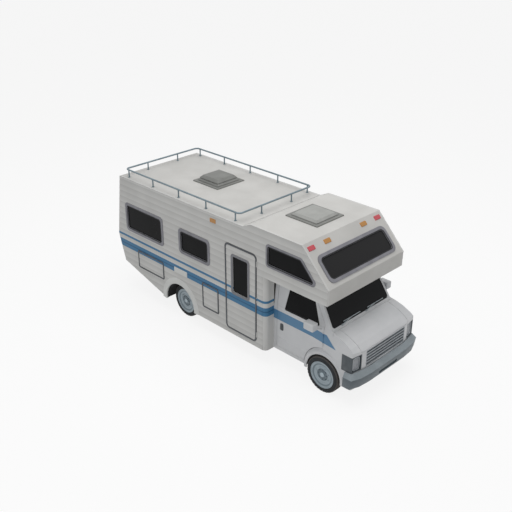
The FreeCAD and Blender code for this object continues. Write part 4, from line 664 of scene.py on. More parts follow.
def lamp_colours():
    """Moulded acrylic lenses: red at the nose's corners and the tail, amber between, with fine ribs."""
    material, tree, shader = new_material("moulded_marker_acrylic", "#C86A6A", 0.25, IOR=1.49)
    x, side, _ = axes(tree)
    tone = painted(tree, linear("#B27E3E"), (region(tree, (side, "COMPARE", 0.995, 0.12)), "#C04A54"),
                   (region(tree, (x, "LESS_THAN", -3.0)), "#C04A54"))
    tree.links.new(tone, shader.inputs["Base Color"])
    place = add_node(tree, "TexCoord", output="Object")
    ribs = add_node(tree, "TexWave", {"Vector": place, "Scale": 40.0}, "Fac", bands_direction="Z")
    bump = add_node(tree, "Bump", {"Height": ribs, "Strength": 0.3, "Distance": 1.0 * MM})
    tree.links.new(bump, shader.inputs["Normal"])
    return material


# Settings

def colour_setting(name, description, default):
    """A colour property, its default an sRGB hex colour."""
    return bpy.props.FloatVectorProperty(name=name, description=description, default=linear(default),
                                         subtype="COLOR", size=4, min=0.0, max=1.0)


def length_setting(name, description, default):
    """A length property, in metres."""
    return bpy.props.FloatProperty(name=name, description=description, default=default,
                                   unit="LENGTH", min=0.0005, precision=4)


class MOTORHOME_PG_settings(bpy.types.PropertyGroup):
    """Colours and sizes that a user would change."""
    wall_colour: colour_setting("Coach paint", "Colour of the walls, entry door and hatches", "#CACAC8")
    roof_colour: colour_setting("Roof paint", "Colour of the roof and the bunk's nose", "#C3C2BF")
    stripe_colour: colour_setting("Stripes", "Colour of the two bands round the coach", "#3F7398")
    cab_colour: colour_setting("Cab paint", "Colour of the cab, hood and fenders", "#CBCCCE")
    lap_pitch: length_setting("Lap pitch", "Height from one lap of the siding to the next", 0.144)
    lap_step: length_setting("Lap step", "How far the foot of each lap stands out", 0.0045)
    trim_depth: length_setting("Trim depth", "Thickness of the edge trims of door and hatches", 0.012)
    tread_depth: length_setting("Tread depth", "Height of the tyres' ribs and blocks", 0.0065)


# Operators

# Where the camera stood, in metres, and how it looked
CAMERA_PLACE = Vector((10.0135, -10.150, 8.720))
CAMERA_LOOK = Vector((-0.63187, 0.63507, -0.44431))
CAMERA_LENS = 51.04
FLOOR_GLOW = 0.86
WORLD_FILL = 0.47
WHITE = (1, 1, 1, 1)
LIGHTS_AIM = Vector((0, 0, 1.2))
SOFTBOXES = (
    # Name, place and size in metres, power in watts
    ("overhead_softbox", Vector((1.0, 0.0, 14.0)), 12.0, 980.0),
    ("kerb_side_softbox", Vector((3.0, -14.0, 6.0)), 9.0, 150.0),
)


def facing(direction):
    """The rotation of a camera or lamp that looks in a direction."""
    return direction.to_track_quat("-Z", "Y").to_euler()


class MOTORHOME_OT_stage(bpy.types.Operator):
    """Sets the camera, the floor, the soft studio light and the white surroundings"""
    bl_idname = "motorhome.stage"
    bl_label = "Stage"

    def execute(self, context):
        scene = context.scene
        bpy.ops.object.camera_add(location=CAMERA_PLACE, rotation=facing(CAMERA_LOOK))
        camera = context.object
        camera.name = "photo_camera"
        camera.data.lens = CAMERA_LENS
        camera.data.sensor_width = 36.0
        camera.data.clip_end = 200.0
        scene.camera = camera

        bpy.ops.mesh.primitive_plane_add(size=120.0, location=(0, 0, 0))
        floor = context.object
        floor.name = "studio_floor"
        floor.data.materials.append(floor_material())

        scene.view_settings.view_transform = "Standard"
        scene.world = studio_world()
        for name, place, size, power in SOFTBOXES:
            bpy.ops.object.light_add(type="AREA", location=place, rotation=facing(LIGHTS_AIM - place))
            lamp = context.object
            lamp.name = name
            lamp.data.shape = "SQUARE"
            lamp.data.size = size
            lamp.data.energy = power
        return {"FINISHED"}


def camera_rays(tree):
    """One for camera, glossy and transmission rays, which all see the white surroundings."""
    path = add_node(tree, "LightPath", output=None).outputs
    seen = add_node(tree, "Math", (path["Is Camera Ray"], path["Is Glossy Ray"]), operation="MAXIMUM")
    return add_node(tree, "Math", (seen, path["Is Transmission Ray"]), operation="MAXIMUM")


def floor_material():
    """White studio paper: mostly glowing for the camera, so that only the shadow shows."""
    material = bpy.data.materials.new("studio_paper")
    material.use_nodes = True
    tree = material.node_tree
    tree.nodes.clear()
    paper = add_node(tree, "BsdfDiffuse", {"Color": linear("#F2F2F2")})
    glow = add_node(tree, "Emission", {"Color": WHITE, "Strength": 1.0})
    share = add_node(tree, "Math", (camera_rays(tree), FLOOR_GLOW), operation="MULTIPLY")
    add_node(tree, "OutputMaterial", [add_node(tree, "MixShader", (share, paper, glow))], None)
    return material


def studio_world():
    """Even fill light that the camera sees as white."""
    world = bpy.data.worlds.new("studio_world")
    world.use_nodes = True
    tree = world.node_tree
    tree.nodes.clear()
    fill = add_node(tree, "Background", {"Color": WHITE, "Strength": WORLD_FILL})
    white = add_node(tree, "Background", {"Color": WHITE, "Strength": 1.0})
    add_node(tree, "OutputWorld", [add_node(tree, "MixShader", (camera_rays(tree), fill, white))], None)
    return world


class MOTORHOME_OT_coach_finish(bpy.types.Operator):
    """Paints the coach: siding with its blue bands, roof, bunk, frames and glass"""
    bl_idname = "motorhome.coach_finish"
    bl_label = "Coach finishes"

    def execute(self, context):
        settings = context.scene.motorhome_settings
        siding = coach_paint("siding_enamel", settings.wall_colour, "#C3C3C1", settings)
        paint_node(siding, "side_wall_right", "side_wall_left", "rear_wall", "entry_door",
                   "hatch_tail_right", "hatch_tail_left", "hatch_mid_right")
        roof = coach_paint("roof_sheet_enamel", settings.roof_colour, "#BCBBB8")
        paint_node(roof, "main_roof", "bunk_shell")
        paint_node(frame_aluminium("anodised_window_extrusion", "#85858B", "#7A7A80"), "window_frames")
        paint_node(tinted_glass(), "coach_glass", "entry_door_glass", "cab_door_glass_right",
                   "cab_door_glass_left", "windscreen")
        paint_node(plain_finish("blue_grey_rack_enamel"), "roof_rack")
        paint_node(vent_plastic(), "vent_bases", "vent_lid_rear", "vent_lid_front")
        paint_node(lamp_colours(), "marker_lamps")
        paint_node(plain_finish("plywood_floor_covering"), "coach_floor")
        return {"FINISHED"}


class MOTORHOME_OT_cab_finish(bpy.types.Operator):
    """Paints the cab, its lamps, grille and bumper, and what shows inside"""
    bl_idname = "motorhome.cab_finish"
    bl_label = "Cab finishes"

    def execute(self, context):
        enamel = cab_paint(context.scene.motorhome_settings.cab_colour)
        paint_node(enamel, "cab_shell", "front_fenders", "hood", "cab_door_right", "cab_door_left")
        paint_node(plain_finish("satin_grille_plastic"), "grille")
        paint_node(plain_finish("lamp_housing_plastic"), "head_lamps")
        paint_node(bumper_paint(), "front_bumper")
        paint_node(plain_finish("black_grained_vinyl"), "wipers", "dashboard", "radiator")
        paint_node(seat_cloth(), "cab_seats")
        return {"FINISHED"}


class MOTORHOME_OT_running_gear_finish(bpy.types.Operator):
    """Finishes the frame, axles, exhaust, wheels and tyres"""
    bl_idname = "motorhome.running_gear_finish"
    bl_label = "Running gear finishes"

    def execute(self, context):
        paint_node(plain_finish("chassis_black_paint"), "chassis_frame", "leaf_springs", "rear_axle",
                   "front_axle", "rear_hitch", "fuel_tank", "tie_rod")
        paint_node(plain_finish("sand_cast_iron"), "engine_block", "driveline", "knuckle_right",
                   "knuckle_left")
        paint_node(plain_finish("aluminised_exhaust_steel"), "exhaust")
        paint_node(tyre_rubber(), *[name for name in NODES if name.startswith("tyre")])
        paint_node(wheel_enamel(), *[name for name in NODES if name.startswith("rim")])
        return {"FINISHED"}


class MOTORHOME_OT_siding(bpy.types.Operator):
    """Laps the siding over the coach's walls, its door and its hatches"""
    bl_idname = "motorhome.siding"
    bl_label = "Lapped siding"

    def execute(self, context):
        settings = context.scene.motorhome_settings
        for node in ("side_wall_right", "side_wall_left", "entry_door", "hatch_tail_right", "hatch_tail_left",
                     "hatch_mid_right"):
            body = "chassis" if node.startswith("side_wall") else node
            skin = lapped_skin(node, settings.lap_pitch, settings.lap_step)
            complete(skin, finish_of(node), body, None)
        return {"FINISHED"}


def lapped_skin(node, pitch, step):
    """The flat outer face of a wall, cut at each lap and sprung out to the laps' lower edges."""
    side = 1 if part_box(node)[0].y > 0 else -1
    piece = node_copy(node, node + "_siding")
    pick(lambda face: abs(face.normal.y) < 0.99
         or abs(abs(face.calc_center_median().y) - COACH_HALF) > 0.0004)
    bpy.ops.mesh.delete(type="FACE")
    low, high = (corner.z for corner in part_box(node))
    lap = math.ceil((low - LAP_BASE) / pitch)
    while LAP_BASE + lap * pitch < high:
        for rise in (0.0, LAP_RISER):
            all_selected()
            bpy.ops.mesh.bisect(plane_co=(0, 0, LAP_BASE + lap * pitch + rise), plane_no=(0, 0, 1))
        lap += 1
    all_selected()
    bpy.ops.transform.translate(value=(0, side * 0.0005, 0))
    bpy.ops.object.mode_set(mode="OBJECT")
    group = piece.vertex_groups.new(name="lap")
    for vertex in piece.data.vertices:
        # The small amount keeps the vertices on a riser's upper edge at the foot of their own lap
        run = (vertex.co.z - LAP_BASE - LAP_RISER + 0.00005) % pitch
        group.add([vertex.index], 1 - run / pitch, "REPLACE")
    modify(piece, "DISPLACE", direction="Y", strength=side * step, mid_level=0.0, vertex_group="lap")
    modify(piece, "SOLIDIFY", thickness=0.001, offset=-1.0)
    piece.vertex_groups.clear()
    return piece


TAIL_HATCH = ((TAIL_X + 0.717, TAIL_X + 1.692), (0.775, 1.235), 0.055, 0.034)
TRIMS = (
    # Door or hatch, side, opening along the coach, its heights, its corner radius, and the trim's width
    ("entry_door", -1, (COACH_FRONT_X - 1.177, COACH_FRONT_X - 0.247), (0.440, 2.465), 0.110, 0.038),
    ("hatch_mid_right", -1, (COACH_FRONT_X - 1.925, COACH_FRONT_X - 1.390), (0.628, 1.250), 0.055, 0.034),
    ("hatch_tail_right", -1, *TAIL_HATCH),
    ("hatch_tail_left", 1, *TAIL_HATCH),
)
TRIM_GAP = 0.006
# Trims and plates are sunk a little into the wall that they sit on
SIDING_DEPTH = COACH_HALF - 0.002


class MOTORHOME_OT_trims(bpy.types.Operator):
    """Fits the extruded edge trims of the entry door and the hatches"""
    bl_idname = "motorhome.trims"
    bl_label = "Door and hatch trims"

    def execute(self, context):
        # Painted aluminium extrusion: a dark line round each opening
        finish = frame_aluminium("painted_edge_extrusion", "#5A5D61", "#505357")
        for body, side, opening, (low, high), corner, width in TRIMS:
            start, end = along_side(side, *opening)
            piece = sheet(body + "_trim", coach_side(side, SIDING_DEPTH), (start + TRIM_GAP, end - TRIM_GAP),
                          (low + TRIM_GAP, high - TRIM_GAP), corner - TRIM_GAP)
            hollowed(width)
            modify(piece, "SOLIDIFY", thickness=context.scene.motorhome_settings.trim_depth, offset=1.0,
                   use_even_offset=True)
            modify(piece, "BEVEL", width=0.003, segments=2)
            complete(piece, finish, body, 30)
        return {"FINISHED"}


DOME_HALF = 0.300
DOME_SIDE = 0.012
# Each step of the dome: how far its edge comes in, and how far it rises
DOME_STEPS = ((0.060, (0, 0, 0.060)), (0.050, (0, 0, 0.006)))
SEAM_HALF_WIDTH = 0.007
SEAM_HALF_LENGTH = 1.128


class MOTORHOME_OT_roof_fittings(bpy.types.Operator):
    """Moulds the rear vent's dome and lays the roof's sealed seam"""
    bl_idname = "motorhome.roof_fittings"
    bl_label = "Roof fittings"

    def execute(self, context):
        low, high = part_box("vent_lid_rear")
        centre = (low + high) / 2
        lid = wall_frame((centre.x, centre.y, high.z - 0.001), (1, 0, 0), (0, 0, 1))
        dome = sheet("vent_dome_rear", lid, (-DOME_HALF, DOME_HALF), (-DOME_HALF, DOME_HALF), 0.0)
        pick(every)
        extrude(z=DOME_SIDE)
        pick(lambda face: face.normal.z > 0.9 and face.calc_center_median().z > high.z + DOME_SIDE / 2)
        stepped(*DOME_STEPS)
        modify(dome, "BEVEL", width=0.008, segments=3)
        complete(dome, finish_of("vent_lid_rear"), "vent_lid_rear", 35)
        x, z = COACH_FRONT_X - 0.645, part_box("main_roof")[1].z - 0.001
        corners = [(x + u * SEAM_HALF_WIDTH, v * SEAM_HALF_LENGTH, z)
                   for u, v in ((-1, -1), (1, -1), (1, 1), (-1, 1))]
        seam = outlined("roof_seam_sealant", corners, (0, 0, 0.003))
        modify(seam, "BEVEL", width=0.0015, segments=2)
        complete(seam, plain_finish("grey_lap_sealant"), "chassis", 35)
        return {"FINISHED"}


# How far the coach windows' rubber stands out from the panes, and how far it laps over the frames
RUBBER_RISE = 0.0235
RUBBER_LAP = 0.022
RUBBER_WIDTH = 0.011


class MOTORHOME_OT_gaskets(bpy.types.Operator):
    """Runs a black rubber gasket round every pane"""
    bl_idname = "motorhome.gaskets"
    bl_label = "Window gaskets"

    def execute(self, context):
        rubber = plain_finish("black_window_rubber")
        for node, body in (("coach_glass", "chassis"), ("entry_door_glass", "entry_door"),
                           ("cab_door_glass_right", "cab_door_right"),
                           ("cab_door_glass_left", "cab_door_left"), ("windscreen", "chassis")):
            piece = node_copy(node, node + "_gasket")
            all_selected()
            bpy.ops.mesh.dissolve_limited(angle_limit=math.radians(2))
            pick(lambda face: face.calc_area() < 0.02 or not faces_outside(face))
            bpy.ops.mesh.delete(type="FACE")
            if node == "coach_glass":
                lipped(RUBBER_RISE, RUBBER_LAP)
                thickness = -0.0015
            else:
                hollowed(RUBBER_WIDTH)
                thickness = 0.005
            modify(piece, "SOLIDIFY", thickness=thickness, offset=1.0)
            complete(piece, rubber, body, 30)
        return {"FINISHED"}


def faces_outside(face):
    """True where a face looks away from the middle of the vehicle."""
    place = face.calc_center_median()
    return face.normal.x * place.x + face.normal.y * place.y > 0


def lipped(rise, lap):
    """Turns panes into channels that stand out to the frames' faces and lap over their inner edges."""
    pick(every)
    bpy.ops.mesh.extrude_region_shrink_fatten(TRANSFORM_OT_shrink_fatten={"value": rise})
    pick(lambda face: len(face.verts) == 4)
    bpy.ops.mesh.extrude_region_shrink_fatten(TRANSFORM_OT_shrink_fatten={"value": lap})
    pick(lambda face: len(face.verts) > 4)
    bpy.ops.mesh.delete(type="FACE")


# Profiles round the axles: radius, and distance out from the middle of the vehicle, in metres
REAR_LIP = ((0.480, 1.158), (0.480, 1.186), (0.488, 1.194), (0.522, 1.196), (0.560, 1.191), (0.622, 1.179),
            (0.632, 1.160))
FRONT_FLANGE = ((0.425, 0.985), (0.425, 1.000), (0.431, 1.004), (0.478, 1.003), (0.492, 0.990),
                (0.536, 0.937), (0.536, 0.925))
WELL_LINERS = (
    ("rear_well_liner", REAR_WHEEL, ((0.476, 1.156), (0.476, 0.536), (0.170, 0.536))),
    ("front_well_liner", FRONT_WHEEL, ((0.474, 0.983), (0.474, 0.506), (0.130, 0.506))),
)


class MOTORHOME_OT_arches(bpy.types.Operator):
    """Flares the rear wheel arches, flanges the front ones and fits the plate over the rear arch"""
    bl_idname = "motorhome.arches"
    bl_label = "Wheel arches"

    def execute(self, context):
        underseal = plain_finish("bitumen_underseal")
        # This enamel is set lighter than the coach walls: a painted highlight on the arch lips and the plate
        enamel = coach_paint("arch_moulding_enamel", "#D2D3D1", "#C9CAC8")
        for side, hand in SIDES:
            lip = moulding(f"rear_arch_lip_{hand}", REAR_WHEEL, side, REAR_LIP, 0.3405)
            complete(lip, enamel, "chassis", 40)
            flange = moulding(f"front_arch_flange_{hand}", FRONT_WHEEL, side, FRONT_FLANGE, 0.3505)
            complete(flange, finish_of("cab_shell"), "chassis", 40)
            for name, wheel, profile in WELL_LINERS:
                liner = turned(f"{name}_{hand}", wheel, [(radius, side * y) for radius, y in profile])
                all_selected()
                bpy.ops.mesh.bisect(plane_co=(0, 0, 0.352), plane_no=(0, 0, 1), clear_inner=True)
                modify(liner, "SOLIDIFY", thickness=0.003, offset=0.0)
                complete(liner, underseal, "chassis", 30)
        plate = sheet("rear_arch_plate", coach_side(-1, SIDING_DEPTH),
                      (REAR_AXLE_X - 0.160, REAR_AXLE_X + 0.280), (1.150, 1.280), 0.018)
        modify(plate, "SOLIDIFY", thickness=0.015, offset=1.0)
        modify(plate, "BEVEL", width=0.004, segments=3)
        complete(plate, enamel, "chassis", 40)
        return {"FINISHED"}


BUMPER_LEVELS = (
    # Height, then points ahead of the front axle and out from the middle
    (0.425, ((0.535, 1.075), (0.700, 1.070), (0.777, 0.860), (0.805, 0.560))),
    (0.632, ((0.535, 1.075), (0.735, 1.070), (0.812, 0.860), (0.840, 0.560))),
    (0.640, ((0.535, 1.070), (0.730, 1.064), (0.805, 0.857), (0.832, 0.560))),
    (0.728, ((0.535, 1.022), (0.676, 1.004), (0.722, 0.750), (0.748, 0.560))),
)
BUMPER_FRONT_X = FRONT_AXLE_X + 0.80
BUMPER_BROW_Z = 0.63
# The slot's half width, its bottom and top, and its depth
SLOT_HALF = 0.290
SLOT_Z = (0.462, 0.535)
SLOT_DEPTH = 0.022


def bumper_level(level):
    """The height and the line of points of one level, from right to left."""
    z, points = BUMPER_LEVELS[level]
    right = [Vector((FRONT_AXLE_X + x, -y, z)) for x, y in points]
    left = [Vector((FRONT_AXLE_X + x, y, z)) for x, y in reversed(points)]
    return z, right + left


class MOTORHOME_OT_bumper(bpy.types.Operator):
    """Presses the front bumper: a raked face with its slot under a sloping brow"""
    bl_idname = "motorhome.bumper"
    bl_label = "Front bumper"

    def execute(self, context):
        height, here = bumper_level(0)
        piece = drawn("bumper_pressing", here)
        all_selected()
        for level in range(1, len(BUMPER_LEVELS)):
            _, there = bumper_level(level)
            top = there[0].z
            rise = Vector((0, 0, top - here[0].z))
            extrude(*rise)
            for low, high in zip(here, there):
                pick(lambda vertex: (vertex.co - low - rise).length < 0.0005, "verts")
                bpy.ops.transform.translate(value=high - low - rise)
            pick(lambda edge: all(abs(vertex.co.z - top) < 0.0005 for vertex in edge.verts), "edges")
            here = there
        mesh = bmesh.from_edit_mesh(piece.data)
        if sum(face.normal.x * face.calc_area() for face in mesh.faces) < 0:
            all_selected()
            bpy.ops.mesh.flip_normals()
        front = (BUMPER_FRONT_X, math.inf)
        for place, normal in ((Vector((0, -SLOT_HALF, 0)), (0, 1, 0)), (Vector((0, SLOT_HALF, 0)), (0, 1, 0)),
                              (Vector((0, 0, SLOT_Z[0])), (0, 0, 1)), (Vector((0, 0, SLOT_Z[1])), (0, 0, 1))):
            pick(within(x=front, y=(-0.55, 0.55), z=(0, BUMPER_BROW_Z)))
            bpy.ops.mesh.bisect(plane_co=place, plane_no=normal)
        pick(within(x=front, y=(-0.1, 0.1), z=(0.47, 0.53)))
        extrude(x=-SLOT_DEPTH)
        modify(piece, "SOLIDIFY", thickness=0.025, offset=-1.0, use_even_offset=True)
        modify(piece, "BEVEL", width=0.004, segments=2)
        complete(piece, finish_of("front_bumper"), "chassis", 30, ["front_bumper"])
        return {"FINISHED"}


# The right lamp unit: its plan ahead of the front axle and out, its foot and height, and the way that
# its face looks
LAMP_PLAN = ((0.430, 0.735), (0.430, 0.996), (0.600, 1.000), (0.668, 0.985), (0.705, 0.735))
LAMP_FOOT = 0.725
LAMP_HEIGHT = 0.347
LAMP_FACE = Vector((0.989, -0.146, 0))
LAMP_RECESS = 0.034


class MOTORHOME_OT_lamps(bpy.types.Operator):
    """Builds the corner lamp units: a housing with a deep recess, a bright rim and a fluted lens"""
    bl_idname = "motorhome.lamps"
    bl_label = "Head lamps"

    def execute(self, context):
        x = FRONT_AXLE_X
        housing = outlined("lamp_housing_right", [(x + u, -y, LAMP_FOOT) for u, y in LAMP_PLAN],
                           (0, 0, LAMP_HEIGHT))
        pick(lambda face: face.normal.dot(LAMP_FACE) > 0.97)
        bpy.ops.mesh.inset(thickness=0.020)
        extrude(*(LAMP_FACE * -LAMP_RECESS))
        modify(housing, "BEVEL", width=0.003, segments=2)
        corner_x, corner_y = LAMP_PLAN[3]
        wall = wall_frame((x + corner_x, -corner_y, 0), (-LAMP_FACE.y, LAMP_FACE.x, 0), LAMP_FACE)
        floor = wall @ Matrix.Translation((0, 0, -LAMP_RECESS))
        lens = sheet("lamp_lens_right", floor, (0.040, 0.200), (0.765, 1.030), 0.040)
        pick(every)
        stepped((0.012, LAMP_FACE * 0.014), (0.030, LAMP_FACE * 0.005))
        modify(lens, "SOLIDIFY", thickness=0.004, offset=-1.0)
        rim = sheet("lamp_rim_right", floor, (0.033, 0.207), (0.758, 1.037), 0.045)
        hollowed(0.009)
        modify(rim, "SOLIDIFY", thickness=0.022, offset=1.0)
        modify(rim, "BEVEL", width=0.002, segments=2)
        for piece, finish, slot, replaced in (
                (housing, finish_of("head_lamps"), "black_plastic", ["head_lamps"]),
                (lens, lamp_glass(), "lamp_lens", ()),
                (rim, plain_finish("bright_rim_steel"), "window_frame", ())):
            for each in (piece, left_of(piece)):
                complete(each, finish, "chassis", 35, replaced)
        return {"FINISHED"}


# In millimetres: radius and distance in from the tyre's face, from the bead to the shoulder
TYRE_RINGS = (
    (288.5, 10), (291, 4), (297, 1.5), (303, 3), (306, 3), (312, 0.5), (330, 0), (348, 3), (360, 9),
    (369, 17), (378, 25), (381, 42), (381, 64), (381, 69), (381, 92), (381, 97),
)
TYRE_WIDTH = 210
# Ribs of the tread: from and to, in from the face, and whether the rib is cut into blocks
TYRE_RIBS = ((26, 42, True), (42, 64, True), (69, 92, False), (97, 113, False), (118, 141, False),
             (146, 168, True), (168, 184, True))
# The same for the wheel centre, from the cap's crown to the disc's edge
WHEEL_RINGS = (
    (30, 6), (44, 9), (50, 16), (52, 40), (70, 42), (84, 34), (124, 34), (134, 22), (144, 17), (152, 21),
    (184, 37), (190, 34), (204, 38), (214, 52), (228, 56), (244, 40), (252, 30), (256, 30), (258, 60),
)
NUT_CIRCLE = 0.105


def from_face(rings):
    """Rings in millimetres from the wheel's face, as radius and place in metres on the right side."""
    return [(radius * MM, -(FRONT_WHEEL_FACE - inward * MM)) for radius, inward in rings]


def polar(face, steps):
    """A face's distance from the front axle, its place across and its step of the full turn."""
    place = face.calc_center_median()
    x, z = place.x - FRONT_WHEEL.x, place.z - FRONT_WHEEL.z
    return math.hypot(x, z), place.y, int((math.atan2(z, x) % math.tau) / math.tau * steps)


def tyre(name):
    """A radial tyre: bead, sidewall with its ring, shoulder blocks and three ribs."""
    inner = [(radius, TYRE_WIDTH - inward) for radius, inward in reversed(TYRE_RINGS)]
    piece = turned(name, FRONT_WHEEL, from_face(list(TYRE_RINGS) + inner))
    open_ends()
    bpy.ops.mesh.bridge_edge_loops()
    faced_out()
    for low, high, blocks in TYRE_RIBS:
        def raised(face):
            radius, y, step = polar(face, 96)
            inward = (FRONT_WHEEL_FACE + y) / MM
            return radius > 0.376 and low < inward < high and (not blocks or step % 3 > 0)

        pick(raised)
        depth = bpy.context.scene.motorhome_settings.tread_depth
        bpy.ops.mesh.extrude_region_shrink_fatten(TRANSFORM_OT_shrink_fatten={"value": depth})
    bpy.ops.object.mode_set(mode="OBJECT")
    return piece


class MOTORHOME_OT_tyres(bpy.types.Operator):
    """Moulds the tyres with their sidewall rings, ribs and shoulder blocks"""
    bl_idname = "motorhome.tyres"
    bl_label = "Tyres"

    def execute(self, context):
        rubber = tyre_rubber()
        front = tyre("tyre_tread_front_right")
        inner = TO_REAR_WHEEL @ Matrix.Translation((0, TWIN_SPACING, 0))
        rear = joined([copied(front, "tyre_tread_rear_right", TO_REAR_WHEEL),
                       copied(front, "tyre_tread_inner", inner)])
        for piece, body, node in ((front, "front_wheel_right", "tyre_front_right"),
                                  (rear, "rear_wheels_right", "tyres_rear_right"),
                                  (left_of(front), "front_wheel_left", "tyre_front_left"),
                                  (left_of(rear), "rear_wheels_left", "tyres_rear_left")):
            complete(piece, rubber, body, 25, [node])
        return {"FINISHED"}


def stamped_disc():
    """A pressed wheel centre with its hub cap, eight hand holes and eight nuts."""
    disc = turned("wheel_disc_front_right", FRONT_WHEEL, from_face(WHEEL_RINGS), 64)
    open_ends()
    bpy.ops.mesh.fill_holes(sides=0)
    faced_out()

    def at_hole(face):
        radius, y, step = polar(face, 64)
        return 0.155 < radius < 0.182 and y < -1.0 and step % 8 in (3, 4)

    pick(at_hole)
    bpy.ops.mesh.inset(thickness=0.003)
    extrude(y=0.018)
    modify(disc, "BEVEL", width=0.0015, segments=2, limit_method="ANGLE")
    nuts = []
    for i in range(8):
        angle = i * math.tau / 8
        place = (FRONT_WHEEL.x + NUT_CIRCLE * math.cos(angle), 0.028 - FRONT_WHEEL_FACE,
                 FRONT_WHEEL.z + NUT_CIRCLE * math.sin(angle))
        nut = begin("cylinder", f"wheel_nut_{i}", vertices=6, radius=0.012, depth=0.016, location=place,
                    rotation=(TURN, 0, 0))
        pick(lambda face: face.normal.y < -0.9)
        bpy.ops.mesh.inset(thickness=0.003)
        extrude(y=-0.004)
        nuts.append(nut)
    return joined([disc] + nuts)


class MOTORHOME_OT_wheels(bpy.types.Operator):
    """Stamps the wheel centres with their caps, hand holes and nuts"""
    bl_idname = "motorhome.wheels"
    bl_label = "Wheel centres"

    def execute(self, context):
        enamel = finish_of("rim_front_right")
        front = stamped_disc()
        rear = copied(front, "wheel_disc_rear_right", TO_REAR_WHEEL)
        for piece, body in ((front, "front_wheel_right"), (rear, "rear_wheels_right"),
                            (left_of(front), "front_wheel_left"), (left_of(rear), "rear_wheels_left")):
            complete(piece, enamel, body, 30)
        return {"FINISHED"}


# A frame on the windscreen's foot, and in it the places of the wipers' pivots and how far along and up
# their tips are from them
SCREEN = wall_frame((FRONT_AXLE_X + 0.112, 0, 1.388), (0, 1, 0), (1, 0, 0.616))
WIPER_PIVOTS = (-0.620, 0.130)
WIPER_REACH = 0.322
WIPER_TIP = 0.058
BLADE_HALF = 0.26
BLADE_WIDTH = 0.008


class MOTORHOME_OT_wipers(bpy.types.Operator):
    """Parks two wipers along the windscreen's base"""
    bl_idname = "motorhome.wipers"
    bl_label = "Wipers"

    def execute(self, context):
        finish = plain_finish("grey_wiper_enamel")
        out = (SCREEN.to_3x3() @ Vector((0, 0, 1))).normalized()

        def bar(name, corners, level, thickness):
            return outlined(name, [SCREEN @ Vector((u, v, level)) for u, v in corners], out * thickness)

        for number, pivot in enumerate(WIPER_PIVOTS, 1):
            u, v = pivot + WIPER_REACH, WIPER_TIP
            arm = bar(f"wiper_{number}", ((pivot, 0.004), (pivot, 0.022), (u, v + 0.006), (u, v - 0.006)),
                      0.012, 0.008)
            blade = bar("blade", ((u - BLADE_HALF, v - BLADE_WIDTH), (u + BLADE_HALF, v - BLADE_WIDTH),
                                  (u + BLADE_HALF, v + BLADE_WIDTH), (u - BLADE_HALF, v + BLADE_WIDTH)),
                        0.002, 0.012)
            hub = begin("cylinder", "hub", vertices=24, radius=0.016, depth=0.026,
                        location=SCREEN @ Vector((pivot, 0.012, 0.013)),
                        rotation=out.to_track_quat("Z", "Y").to_euler())
            piece = joined([arm, blade, hub])
            modify(piece, "BEVEL", width=0.002, segments=2, limit_method="ANGLE")
            complete(piece, finish, "chassis", 35, ["wipers"])
        return {"FINISHED"}


class MOTORHOME_OT_door_furniture(bpy.types.Operator):
    """Fits the cab doors' handles, rubbing strips and mirror glasses"""
    bl_idname = "motorhome.door_furniture"
    bl_label = "Cab door furniture"

    def execute(self, context):
        dark = plain_finish("black_handle_enamel")
        bright = plain_finish("bright_strip_aluminium")
        silvered = plain_finish("silvered_mirror_glass")
        x = FRONT_AXLE_X
        for side, hand in SIDES:
            wall = coach_side(side, CAB_DOOR_FACE)
            body = "cab_door_" + hand
            handle = sheet("door_handle_" + hand, wall, along_side(side, x - 1.205, x - 1.115),
                           (0.850, 1.010), 0.030)
            pick(every)
            stepped((0.010, (0, side * -0.004, 0)))
            modify(handle, "SOLIDIFY", thickness=0.010, offset=1.0)
            complete(handle, dark, body, 35)
            strip = sheet("door_strip_" + hand, wall, along_side(side, x - 1.288, x - 0.482),
                          (0.644, 0.656), 0.0)
            modify(strip, "SOLIDIFY", thickness=0.005, offset=1.0)
            modify(strip, "BEVEL", width=0.0015, segments=2)
            complete(strip, bright, body, 35)
            back = wall_frame((x - 0.3305, side * 1.170, 1.480), (0, -1, 0), (-1, 0, 0))
            glass = sheet("mirror_glass_" + hand, back, (-0.062, 0.062), (-0.062, 0.062), 0.018)
            modify(glass, "SOLIDIFY", thickness=0.004, offset=1.0)
            modify(glass, "BEVEL", width=0.001, segments=2)
            complete(glass, silvered, body, 35)
        return {"FINISHED"}


SEAT_X = FRONT_AXLE_X - 1.180
SEAT_SPACING = 1.08
SEAT_PADS = (
    # Name, outline ahead and up, right and left edges, how far it may swell, and how far its seams are
    # from its middle
    ("cushion", ((0.015, 0.970), (0.500, 0.970), (0.505, 1.055), (0.015, 1.060)), (-0.765, -0.315),
     0.014, 0.12),
    ("back", ((0.020, 1.095), (0.125, 1.095), (0.030, 1.700), (-0.055, 1.700)), (-0.755, -0.325),
     0.014, 0.12),
    ("head_rest", ((-0.050, 1.735), (0.020, 1.735), (0.002, 1.875), (-0.050, 1.875)), (-0.645, -0.435),
     0.010, 0.06),
)
SEAT_BASE = ((0.060, -0.660), (0.480, -0.660), (0.480, -0.420), (0.060, -0.420))
SEAT_BASE_Z = 0.706
SEAT_BASE_HEIGHT = 0.262
SEAM_REACH = 0.010
SEAM_DEPTH = 0.005


